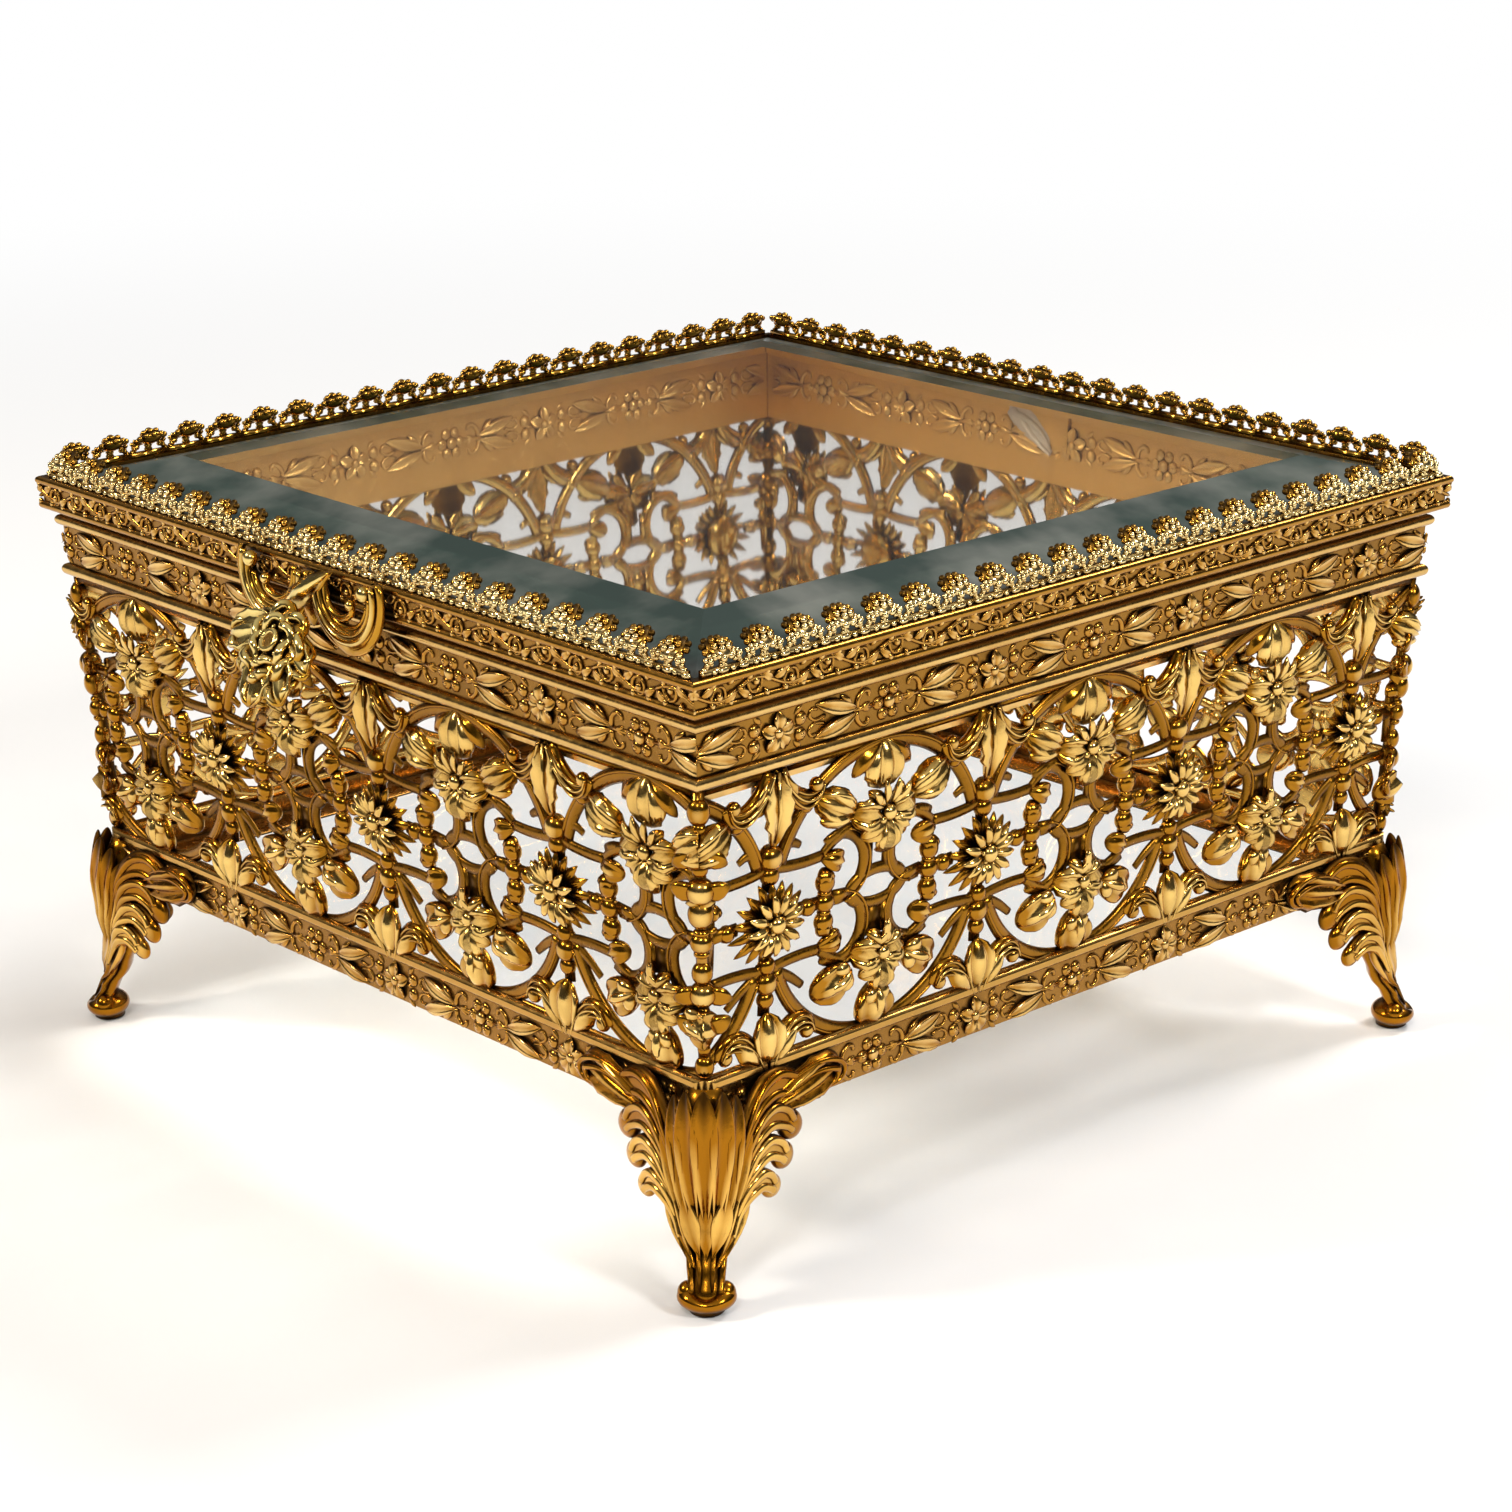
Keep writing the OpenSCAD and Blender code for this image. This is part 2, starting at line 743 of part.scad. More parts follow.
centred() thumb_rivet();
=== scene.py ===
from math import atan, atan2, cos, exp, hypot, log, pi, radians, sin, sqrt, tan

import bmesh
import bpy
from mathutils import Matrix, Vector


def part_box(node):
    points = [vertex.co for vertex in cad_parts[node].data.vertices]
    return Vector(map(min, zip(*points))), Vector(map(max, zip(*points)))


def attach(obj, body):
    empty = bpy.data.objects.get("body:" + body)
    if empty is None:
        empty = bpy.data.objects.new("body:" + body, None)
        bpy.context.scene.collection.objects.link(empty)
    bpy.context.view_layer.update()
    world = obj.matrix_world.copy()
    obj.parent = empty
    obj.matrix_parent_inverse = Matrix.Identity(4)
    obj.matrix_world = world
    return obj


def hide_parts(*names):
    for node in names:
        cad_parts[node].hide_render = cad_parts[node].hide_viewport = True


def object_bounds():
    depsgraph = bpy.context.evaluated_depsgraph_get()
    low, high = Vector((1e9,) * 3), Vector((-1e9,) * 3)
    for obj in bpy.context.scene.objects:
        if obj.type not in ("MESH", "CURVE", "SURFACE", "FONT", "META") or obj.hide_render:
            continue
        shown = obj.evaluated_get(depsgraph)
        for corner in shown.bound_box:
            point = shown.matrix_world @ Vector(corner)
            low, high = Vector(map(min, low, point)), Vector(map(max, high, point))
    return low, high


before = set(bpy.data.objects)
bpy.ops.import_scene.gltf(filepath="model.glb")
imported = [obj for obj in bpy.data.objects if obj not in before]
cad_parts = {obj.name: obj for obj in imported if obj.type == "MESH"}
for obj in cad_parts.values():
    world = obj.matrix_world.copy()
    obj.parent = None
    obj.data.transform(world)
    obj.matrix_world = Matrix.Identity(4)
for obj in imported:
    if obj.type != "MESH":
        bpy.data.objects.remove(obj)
cad_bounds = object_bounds()

# -------- stage
# A plain pale table, a soft studio and the camera. The camera stands in front of
# the right corner, a little above the lid, and looks down on the casket.
scene = bpy.context.scene
scene.view_settings.view_transform = "Standard"


def spun(degrees, axis):
    """A turn about an axis"""
    return Matrix.Rotation(radians(degrees), 4, axis)


def placed(point, size=(1, 1, 1)):
    """A move to a point, with a size along each axis"""
    return Matrix.Translation(point) @ Matrix.Diagonal((*size, 1))


def as_mesh(bm, name):
    """Keeps a shape as a mesh"""
    made = bpy.data.meshes.new(name)
    bm.to_mesh(made)
    bm.free()
    return made


camera_place = Vector((0.372514, -0.329293, 0.204423))
camera_turn, camera_tilt, camera_roll = -47.899, -18.168, -0.711
camera = bpy.data.objects.new("camera", bpy.data.cameras.new("camera"))
camera.data.lens = 87.85
camera.data.clip_start = 0.01
camera_way = spun(-camera_turn, "Z") @ spun(90 + camera_tilt, "X") @ spun(camera_roll, "Z")
camera.matrix_world = placed(camera_place) @ camera_way
scene.collection.objects.link(camera)
scene.camera = camera

table_size = 12.0
table_mesh = bmesh.new()
bmesh.ops.create_grid(table_mesh, x_segments=1, y_segments=1, size=table_size / 2)
table_data = as_mesh(table_mesh, "table_top")
table = bpy.data.objects.new("table_top", table_data)
table.location.z = -0.0002
scene.collection.objects.link(table)


def set_inputs(tree, node, given):
    """Gives a node's inputs their values, or links them to other nodes' outputs, a
    node being its first output"""
    for name, value in given.items():
        if isinstance(value, bpy.types.Node):
            value = value.outputs[0]
        if isinstance(value, bpy.types.NodeSocket):
            tree.links.new(value, node.inputs[name])
        else:
            node.inputs[name].default_value = value


def add_node(tree, kind, given=None, **settings):
    """Shader node with its settings and inputs"""
    node = tree.nodes.new("ShaderNode" + kind)
    for name, value in settings.items():
        setattr(node, name, value)
    set_inputs(tree, node, given or {})
    return node


def maths(tree, kind, *values, clamp=False):
    """Output of a sum of values and other nodes' outputs"""
    return add_node(tree, "Math", dict(enumerate(values)), operation=kind, use_clamp=clamp).outputs[0]


def new_material(name):
    """A material, its node tree and its main shader"""
    made = bpy.data.materials.new(name)
    made.use_nodes = True
    return made, made.node_tree, made.node_tree.nodes["Principled BSDF"]


table_paint, tree, paint = new_material("pale_table")
set_inputs(tree, paint, {"Base Color": (0.86, 0.86, 0.86, 1), "Roughness": 0.7})
glow = add_node(tree, "Emission", {"Color": (1.0, 1.0, 1.0, 1)})
spot = add_node(tree, "TexCoord")
away = add_node(tree, "VectorMath", {0: spot.outputs["Object"]}, operation="LENGTH")
far_off = add_node(tree, "MapRange", {"Value": away.outputs["Value"], "From Min": 0.2, "From Max": 0.75},
                   interpolation_type="SMOOTHSTEP")
path = add_node(tree, "LightPath").outputs
reflected = maths(tree, "ADD", path["Is Glossy Ray"], path["Is Transmission Ray"])
seen = maths(tree, "ADD", path["Is Camera Ray"], reflected, clamp=True)
share = maths(tree, "MULTIPLY", seen, far_off)
# Glass shows the table with only a trace of the casket's shadow
shown = maths(tree, "MAXIMUM", share, maths(tree, "MULTIPLY", path["Is Transmission Ray"], 0.7))
surface = add_node(tree, "MixShader", {0: shown, 1: paint, 2: glow})
set_inputs(tree, tree.nodes["Material Output"], {"Surface": surface})
table_data.materials.append(table_paint)

# The room is dim along its walls and bright overhead, like a tented ceiling
room = bpy.data.worlds.new("studio")
room.use_nodes = True
tree = room.node_tree
way = add_node(tree, "TexCoord")
height = add_node(tree, "SeparateXYZ", {"Vector": way.outputs["Generated"]})
overhead = add_node(tree, "MapRange", {"Value": height.outputs["Z"], "From Min": 0.3, "From Max": 0.8, "To Min": 0.07,
                                       "To Max": 0.5}, interpolation_type="SMOOTHSTEP")
set_inputs(tree, tree.nodes["Background"], {"Color": (1.0, 1.0, 1.0, 1), "Strength": overhead})
scene.world = room


def soft_lamp(name, place, size, watts, colour):
    """Square soft box at a place, turned to the middle of the casket"""
    lamp = bpy.data.lights.new(name, "AREA")
    lamp.shape = "SQUARE"
    lamp.size = size
    lamp.energy = watts
    lamp.color = colour
    holder = bpy.data.objects.new(name, lamp)
    aim = Vector((0, 0, 0.04)) - Vector(place)
    holder.matrix_world = placed(place) @ aim.to_track_quat("-Z", "Y").to_matrix().to_4x4()
    scene.collection.objects.link(holder)


soft_lamp("lamp_left", (-0.45, -0.80, 0.70), 0.17, 6.5, (1.0, 0.90, 0.77))
soft_lamp("lamp_right", (0.95, 0.05, 0.62), 0.17, 5.6, (1.0, 0.99, 0.97))
soft_lamp("lamp_front", (0.60, -0.75, 0.85), 0.16, 3.5, (1.0, 0.98, 0.94))
soft_lamp("lamp_back", (0.15, 0.80, 0.95), 0.35, 8.0, (1.0, 1.0, 1.0))

# -------- openwork walls
# Four walls of stamped gilt brass sheet, pierced between rings, scrolls, daisies
# and hanging leaves. They lean outwards and are bent and soldered at the corners.
MM = 0.001
base_low, base_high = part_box("base_band")
wall_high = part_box("filigree_front")[1]
casket_middle = (base_low + base_high) / 2
foot_half = (base_high.x - base_low.x) / 2
rim_half = wall_high.x
wall_foot = base_high.z
wall_head = wall_high.z
wall_lean = atan2(rim_half - foot_half, wall_head - wall_foot)
wall_slant = (wall_head - wall_foot) / cos(wall_lean) / MM
repeat_w = 36.4
repeat_h = 39.6
middle_v = repeat_h / 2
daisy_shift = {"front": 2.8, "right": -repeat_w / 2}
turns = {"front": 0, "right": 90, "back": 180, "left": 270}
smallest_bit = 0.0032


def cross_section(point, along, width, height):
    """Where one cross-section of a rib stands: across, out of the wall, along"""
    along = along.normalized()
    across = Vector((0, 0, 1)).cross(along)
    across = across.normalized() if across.length > 0.01 else Vector((1, 0, 0))
    out = along.cross(across)
    section = Matrix.Identity(4)
    section.col[0].xyz = across * width / 2
    section.col[1].xyz = out * height / 2
    section.col[2].xyz = along
    section.col[3].xyz = point
    return section


def in_space(point):
    """A point as a vector, in the plane of the sheet where it gives no height"""
    return Vector((*point, 0.0)) if len(point) == 2 else Vector(point)


def loft(bm, sections, sides):
    """Round skin over a line of cross-sections, closed at both ends"""
    made = bmesh.ops.create_circle(bm, cap_ends=True, segments=sides, radius=1, matrix=sections[0])
    loop = list({e for v in made["verts"] for e in v.link_edges})
    for before, section in zip(sections, sections[1:]):
        grown = bmesh.ops.extrude_edge_only(bm, edges=loop)["geom"]
        fresh = {g for g in grown if isinstance(g, bmesh.types.BMVert)}
        loop = [g for g in grown if isinstance(g, bmesh.types.BMEdge) and fresh.issuperset(g.verts)]
        bmesh.ops.transform(bm, matrix=section @ before.inverted(), verts=list(fresh))
    bmesh.ops.edgeloop_fill(bm, edges=loop)


def rib(bm, points, width, height, girth=(1.0, 1.0, 1.0), sides=8):
    """Round rib through points; girth gives its share of the full size at the two
    ends and in the middle"""
    points = [in_space(p) for p in points]
    last = len(points) - 1
    sections = []
    for k, point in enumerate(points):
        along = points[min(k + 1, last)] - points[max(k - 1, 0)]
        share = 2 * k / last
        full = girth[0] + (girth[1] - girth[0]) * share
        if share > 1:
            full = girth[1] + (girth[2] - girth[1]) * (share - 1)
        sections.append(cross_section(point, along, width * full, height * full))
    loft(bm, sections, sides)


def arc(centre, radius, start, end, steps, squash=1.0, lift=0.0):
    """Points on an arc, angles in degrees from across"""
    turns_by = [radians(start + (end - start) * k / steps) for k in range(steps + 1)]
    return [(centre[0] + radius * cos(a), centre[1] + squash * radius * sin(a), lift) for a in turns_by]


def flow(points, steps=4):
    """Smooth line through points"""
    points = [in_space(p) for p in points]
    ends = [2 * points[0] - points[1], *points, 2 * points[-1] - points[-2]]
    line = [points[0]]
    for a, b, c, d in zip(ends, ends[1:], ends[2:], ends[3:]):
        for j in range(1, steps + 1):
            t = j / steps
            bent = (2 * a - 5 * b + 4 * c - d) * t * t + (3 * b - a - 3 * c + d) * t**3
            line.append(0.5 * (2 * b + (c - a) * t + bent))
    return line


def bead(bm, place, radius, flat=1.0, fine=2, tall=1.0):
    """Round bead pressed out of the sheet"""
    at = placed(in_space(place), (1, tall, flat))
    bmesh.ops.create_icosphere(bm, subdivisions=fine, radius=radius, matrix=at)


def block(bm, middle, size):
    """Flat bar of the sheet"""
    made = bmesh.ops.create_cube(bm, size=1)["verts"]
    bmesh.ops.transform(bm, verts=made, matrix=placed(middle, size))


def petal(bm, root, turn, length, width, thick, form=(0.5, 0.7, 0.0), folds=(0, 0.0), droop=0.0,
          cup=0.0, sides=12, rings=8, jag=0.0):
    """Leaf or petal from its root, turned in degrees from straight up. Its form says
    at which share of its length it is widest, how pointed it is and how much its
    middle stands up, and its folds how many ridges it has and how high they are;
    droop sinks its end, cup lifts its edges and jag notches its outline."""
    fullest, point, arch = form
    made = bmesh.ops.create_uvsphere(bm, u_segments=sides, v_segments=rings, radius=1)["verts"]
    for v in made:
        x, y, z = v.co
        share = (1 - z) / 2
        girth = hypot(x, y)
        x, y = (x / girth, y / girth) if girth > 1e-5 else (0.0, 0.0)
        inside = 0 < share < 1
        outline = sin(pi * share ** (log(0.5) / log(fullest))) ** point if inside else 0.0
        body = sin(pi * share) ** 0.5 if inside else 0.0
        outline *= 1 + jag * cos(9 * pi * share)
        height = y * thick / 2 * body
        height += arch * sin(pi * share) - droop * share**2 + cup * x * x * body
        if y > 0:
            height += folds[1] * cos(pi * folds[0] * x) * body
        v.co = Vector((x * outline * width / 2, share * length, height))
    bmesh.ops.transform(bm, matrix=placed(in_space(root)) @ spun(-turn, "Z"), verts=made)


def flower_column(bm):
    """Half of a repeat over the middle line: arch, scrolls, beads and window"""
    rib(bm, arc((0, 1.7), 17.3, 18, 162, 44), 2.1, 1.1)
    rib(bm, arc((0, 1.7), 17.8, 20, 160, 44, lift=0.4), 0.5, 0.5, sides=6)
    for s in (-1, 1):
        rib(bm, flow([(s * 18.0, 6.8), (s * 15.4, 6.3), (s * 12.2, 6.1), (s * 9.4, 6.2)]), 1.6, 0.9)
        rib(bm, arc((s * 6.4, 4.1), 4.3, 90 - s * 35, 90 + s * 190, 20), 2.1, 1.0, (0.7, 1, 0.8))
        rib(bm, arc((s * 6.4, 4.1), 4.9, 90 + s * 10, 90 + s * 170, 16, lift=0.4), 0.4, 0.4, sides=6)
        rib(bm, flow([(s * 9.4, 6.2), (s * 7.6, 7.7), (s * 5.4, 8.6), (s * 3.6, 8.8)]), 1.8, 1.0, (0.8, 0.9, 0.8))
        petal(bm, (s * 9.7, 5.9, 0.0), -s * 104, 4.0, 3.0, 1.8, (0.6, 0.5, 0.5), (2, 0.3), sides=16, rings=10)
        bead(bm, (s * 7.9, 5.2, 0.5), 0.9, 0.8)
        petal(bm, (s * 9.0, 4.6, 0.0), 180, 2.4, 2.5, 1.7, (0.5, 0.5, 0.4), (2, 0.2), sides=16)
    rib(bm, arc((0, -0.1), 4.6, -4, 184, 16, squash=0.5), 1.7, 0.9)
    for s in (-1, 1):
        rib(bm, [(s * 1.6, 2.4), (s * 1.6, 6.4)], 1.5, 0.9)


def blossom(bm, middle, upright):
    """Ruffled flower seen from its side: two broad petals, a long lip with folds and
    a crown of narrow petals that stands out of the wall"""
    u, v = middle
    up = cos(radians(upright))
    for s in (-1, 1):
        petal(bm, (u + s * 0.4, v, 0.5), upright + s * 82, 5.0, 4.4, 1.7, (0.6, 0.5, 0.8), (3, 0.45), droop=0.3,
              cup=0.5, sides=24, rings=12, jag=0.1)
        petal(bm, (u + s * 0.3, v - 0.4 * up, 0.9), upright + s * 122, 4.3, 3.0, 1.4, (0.6, 0.6, 0.7), (2, 0.35),
              sides=18, rings=10, jag=0.08)
        petal(bm, (u + s * 0.4, v + 0.8 * up, 0.8), upright + s * 44, 3.6, 2.2, 1.2, (0.55, 0.7, 0.6), (1, 0.3),
              rings=10)
    petal(bm, (u, v - 0.5 * up, 1.0), upright + 180, 5.0, 3.8, 1.6, (0.6, 0.5, 0.8), (3, 0.45), droop=0.5, sides=24,
          rings=12, jag=0.08)
    for lean, long in ((-34, 3.2), (-12, 3.9), (10, 3.8), (31, 3.3)):
        petal(bm, (u + lean / 26, v + up, 1.2), upright + lean, long, 1.0, 0.9, (0.55, 0.8, 0.6), droop=-0.9,
              cup=0.2)
    bead(bm, (u, v + 0.2 * up, 1.6), 1.1, 0.8)
    for s in (-1, 1):
        bead(bm, (u + s * 1.2, v - 0.6 * up, 1.7), 0.6, 0.8)


def upper_buds(bm):
    """Tulip under the rim and the two ruffled buds on the arch"""
    petal(bm, (0, 19.4, 0.2), 180, 6.6, 6.6, 1.6, (0.55, 0.5, 0.6), (3, 0.5), sides=28, rings=14, jag=0.1)
    for s in (-1, 1):
        petal(bm, (s * 0.6, 19.4, 0.0), 180 - s * 46, 6.0, 2.8, 1.3, (0.6, 0.7, 0.4), (1, 0.3))
        petal(bm, (s * 4.6, 10.9, 0.3), s * 64, 7.4, 5.0, 2.2, (0.5, 0.5, 0.6), (3, 0.5), sides=28, rings=14, jag=0.1)
        petal(bm, (s * 5.0, 11.6, 0.9), s * 52, 5.6, 2.4, 1.3, (0.55, 0.6, 0.6), (1, 0.3), rings=10)
        petal(bm, (s * 5.4, 10.6, 0.8), s * 84, 5.4, 2.2, 1.3, (0.55, 0.6, 0.5), (1, 0.3), rings=10)
        bead(bm, (s * 12.6, 13.6, 0.1), 1.1, 0.8)


def lower_buds(bm):
    """Three round buds low on the arch, drawn upside down for the mirror"""
    for turn, root, size, wide in ((0, (0, 13.0), 6.0, 6.4), (66, (4.4, 9.8), 6.6, 5.2), (-66, (-4.4, 9.8), 6.6, 5.2)):
        petal(bm, (*root, 0.0), turn, size, wide, 2.6, (0.55, 0.5, 0.6), (2, 0.35), sides=24, rings=14, jag=0.04)
        petal(bm, (*root, 0.9), turn, size * 0.8, 1.4, 1.8, (0.5, 0.7, 0.8))
        for s in (-1, 1):
            petal(bm, (*root, 0.6), turn + s * 34, size * 0.55, 2.2, 1.5, (0.5, 0.9, 0.6))
    block(bm, (0, 4.4, -0.1), (3.2, 4.0, 0.5))


def daisy(bm, middle):
    """Daisy whose upper petals stand up out of the wall and whose lower ones hang"""
    u, v = middle
    bead(bm, (u, v - 0.4, -0.2), 3.6, 0.3)
    for ring, count, long, wide, high in ((0, 17, 5.6, 1.5, 0.1), (1, 13, 4.2, 1.3, 1.0)):
        for k in range(count):
            turn = (k + 0.5 * ring) * 360 / count
            up = cos(radians(turn))
            reach = long * (0.84 + 0.16 * abs(sin(radians(turn)))) * (1 + 0.07 * sin(5.3 * k))
            root = (u + 0.6 * sin(radians(turn)), v + 0.6 * up, high)
            petal(bm, root, turn, reach, wide, 1.0, (0.55, 0.9, 0.5 + 0.3 * ring), (1, 0.2),
                  droop=0.3 - 0.9 * ring - 0.7 * max(0, up), cup=0.3, rings=6)
    bead(bm, (u, v + 0.1, 1.9), 1.25, 0.8)
    for k in range(5):
        turn = radians(72 * k)
        bead(bm, (u + 1.1 * sin(turn), v + 1.1 * cos(turn), 1.8), 0.5, 0.9, 1)


def horn(bm, u, s):
    """Curled side lobe of a hanging or standing leaf"""
    for inset, lift, broad in ((0.0, 0.0, 3.0), (0.75, 0.55, 0.55), (-0.1, 0.75, 0.5), (-0.9, 0.5, 0.55)):
        line = [(0.7, 19.4), (1.8, 17.0 - inset * 0.6), (3.6, 15.2 - inset), (5.4, 14.5 - inset),
                (7.0, 15.1 - inset * 0.6), (7.6, 16.4)]
        rib(bm, flow([(u + s * x, y, 0.4 + lift) for x, y in line]), broad, 0.9 + broad / 4, (0.8, 1, 0.6))
    bead(bm, (u + s * 6.7, 16.2, 0.7), 1.05, 0.8)


def hanging_leaf(bm, u):
    """Acanthus leaf that hangs from the rim between two curled side lobes"""
    petal(bm, (u, 19.6, 0.5), 180, 10.2, 4.4, 1.4, (0.42, 0.9, 0.8), (1, -0.4), sides=20, rings=18, jag=0.16)
    rib(bm, [(u, 19.4, 1.1), (u, 14.6, 1.7), (u, 10.4, 1.0)], 0.6, 0.8, (1, 0.9, 0.4), sides=6)
    for s in (-1, 1):
        petal(bm, (u + s * 0.7, 19.5, 0.3), s * 158, 6.0, 2.8, 1.3, (0.6, 0.8, 0.6), (1, -0.3), rings=10, jag=0.1)
        horn(bm, u, s)
        rib(bm, flow([(u + s * 0.8, 7.4), (u + s * 2.0, 8.6), (u + s * 3.6, 9.2), (u + s * 5.0, 8.6)]), 1.7, 0.9,
            (1, 0.9, 0.6))
    for v, r in ((8.2, 1.75), (5.9, 1.35)):
        bead(bm, (u, v, 0.2), r, 0.8, 3)
    rib(bm, [(u, 3.8), (u, 9.8)], 2.1, 0.9)


def standing_lily(bm, u):
    """Lily that stands on the base moulding, drawn upside down for the mirror"""
    petal(bm, (u, 19.4, 0.5), 180, 7.4, 5.2, 1.6, (0.6, 0.6, 0.7), (2, 0.4), sides=22, rings=14, jag=0.08)
    rib(bm, [(u, 19.3, 1.2), (u, 16.0, 1.7), (u, 12.6, 1.2)], 0.6, 0.7, (1, 0.9, 0.5), sides=6)
    for s in (-1, 1):
        petal(bm, (u + s * 0.8, 19.4, 0.4), s * 140, 6.6, 3.0, 1.4, (0.62, 0.7, 0.6), (1, 0.35), rings=12, jag=0.08)
        horn(bm, u, s)
        rib(bm, flow([(u + s * 0.8, 6.0), (u + s * 2.2, 7.4), (u + s * 4.2, 8.6), (u + s * 6.2, 10.2)]), 1.6, 0.9,
            (1, 0.9, 0.7))
    for v, r in ((10.4, 1.2), (8.2, 1.6), (5.9, 1.25)):
        bead(bm, (u, v, 0.2), r, 0.8, 3)
    rib(bm, [(u, 3.8), (u, 12.4)], 2.0, 0.9)


def face_out(bm):
    """Turns the faces of a shape outwards"""
    bmesh.ops.recalc_face_normals(bm, faces=bm.faces)


def put(bm, matrix):
    """Moves, turns and scales a whole shape"""
    bmesh.ops.transform(bm, matrix=matrix, verts=bm.verts)


def keep_mesh(bm, name):
    """Keeps a shape as a mesh, its faces turned outwards"""
    face_out(bm)
    return as_mesh(bm, name)


def add_copy(bm, mesh, *move):
    """Adds a copy of a kept shape and moves it"""
    first = len(bm.verts)
    bm.from_mesh(mesh)
    bm.verts.ensure_lookup_table()
    bmesh.ops.translate(bm, vec=move, verts=bm.verts[first:])


def one_repeat():
    """One repeat of the openwork, from the flower column at 0 to the daisy at its right"""
    upper = bmesh.new()
    flower_column(upper)
    lower = upper.copy()
    upper_buds(upper)
    blossom(upper, (0.2, 9.9), 0)
    hanging_leaf(upper, repeat_w / 2)
    lower_buds(lower)
    blossom(lower, (0.2, 8.8), 180)
    standing_lily(lower, repeat_w / 2)
    put(lower, Matrix.Diagonal((1, -1, 1, 1)))
    daisy(upper, (repeat_w / 2, 0))
    for s in (-1, 1):
        bead(upper, (s * 8.9, 0, 0.2), 1.45, 0.75, 3, 0.9)
        for v in (-2.6, 2.6):
            bead(upper, (s * 8.9, v, 0.2), 1.4, 0.75, 3)
        for v in (-1.3, 1.3):
            bead(upper, (s * 8.9, v, 0.2), 1.0, 0.8, 2, 0.5)
        rib(upper, [(s * 8.9, 4.2), (s * 8.9, -4.2)], 1.7, 0.9)
        rib(upper, [(s * 9.0, 0), (s * 11.2, 0.1), (s * 13.2, 0.1)], 1.9, 1.0)
        bead(upper, (s * 11.6, 0.0, 0.1), 1.2, 0.8)
        rib(upper, [(s * 4.4, 0), (s * 7.6, 0.3)], 1.8, 1.0)
    halves = bmesh.new()
    for half in (upper, lower):
        one = keep_mesh(half, "half_repeat")
        halves.from_mesh(one)
        bpy.data.meshes.remove(one)
    put(halves, placed((0, middle_v, 0)))
    return keep_mesh(halves, "openwork_repeat")


def mitre(bm):
    """Cuts a front piece along both corner planes and closes the cuts"""
    for s in (-1, 1):
        everything = bm.verts[:] + bm.edges[:] + bm.faces[:]
        cut = bmesh.ops.bisect_plane(bm, geom=everything, plane_co=(0, 0, 0), plane_no=(s, 1, 0), clear_outer=True)
        rims = [g for g in cut["geom_cut"] if isinstance(g, bmesh.types.BMEdge)]
        bmesh.ops.holes_fill(bm, edges=rims, sides=0)


def drop_slivers(bm, small):
    """Removes the small loose bits that a mitre leaves of a motif"""
    left, lost = set(bm.verts), []
    for start in bm.verts:
        if start not in left:
            continue
        left.remove(start)
        island, edge = [], [start]
        while edge:
            v = edge.pop()
            island.append(v)
            near = {link.other_vert(v) for link in v.link_edges} & left
            left -= near
            edge += near
        cut = any(abs(abs(v.co.x) + v.co.y) < 1e-6 for v in island)
        wide = max(max(v.co[i] for v in island) - min(v.co[i] for v in island) for i in range(3))
        if cut and wide < small:
            lost += island
    bmesh.ops.delete(bm, geom=lost, context="VERTS")


def keep_relief(bm, low, high, back=0.0):
    """Stores each vertex's height out of the sheet, from 0 at low to 1 at high. The metal reads it, to darken the
    recesses with patina and painted shade and to brighten the high parts with wear and a painted highlight. The plain
    back of the sheet keeps at least the height given for it, which paints it lighter for the inside, where little light
    reaches."""
    layer = bm.verts.layers.float.get("relief") or bm.verts.layers.float.new("relief")
    bm.normal_update()
    for v in bm.verts:
        v[layer] = min(1.0, max(0.0, (v.co.z - low) / (high - low)))
        if v.normal.z < -0.3:
            v[layer] = max(v[layer], back)


def finish_piece(bm, name, body, metal, replaced=()):
    """Turns a mesh into a piece of the casket"""
    data = as_mesh(bm, name)
    data.polygons.foreach_set("use_smooth", [True] * len(data.polygons))
    data.materials.append(metal)
    piece = bpy.data.objects.new(name, data)
    scene.collection.objects.link(piece)
    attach(piece, body)
    if replaced:
        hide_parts(*replaced)
    return piece


def finish_copies(bm, places, name, body, metal, node=None):
    """Finishes a copy of a shape at each of its places"""
    for place, matrix in places.items():
        copy = bm.copy()
        put(copy, matrix)
        finish_piece(copy, name + place, body, metal, [node + place] if node else ())
    bm.free()


def about_middle(turn):
    """A turn about the casket's upright middle line"""
    return placed((casket_middle.x, casket_middle.y, 0)) @ spun(turn, "Z")


def on_casket(side):
    """Turns a front piece, made about the casket's own middle, to a side"""
    return about_middle(turns[side])


def leaning_face(half, height, lean):
    """From millimetres across, up and out of a front face to metres about the middle"""
    tilt = Matrix.Rotation(radians(90) + lean, 4, "X")
    return placed((0, -half, height)) @ tilt @ Matrix.Scale(MM, 4)


def blend(tree, share, a, b):
    """Mix of two colours"""
    return add_node(tree, "Mix", {"Factor": share, "A": a, "B": b}, data_type="RGBA").outputs["Result"]


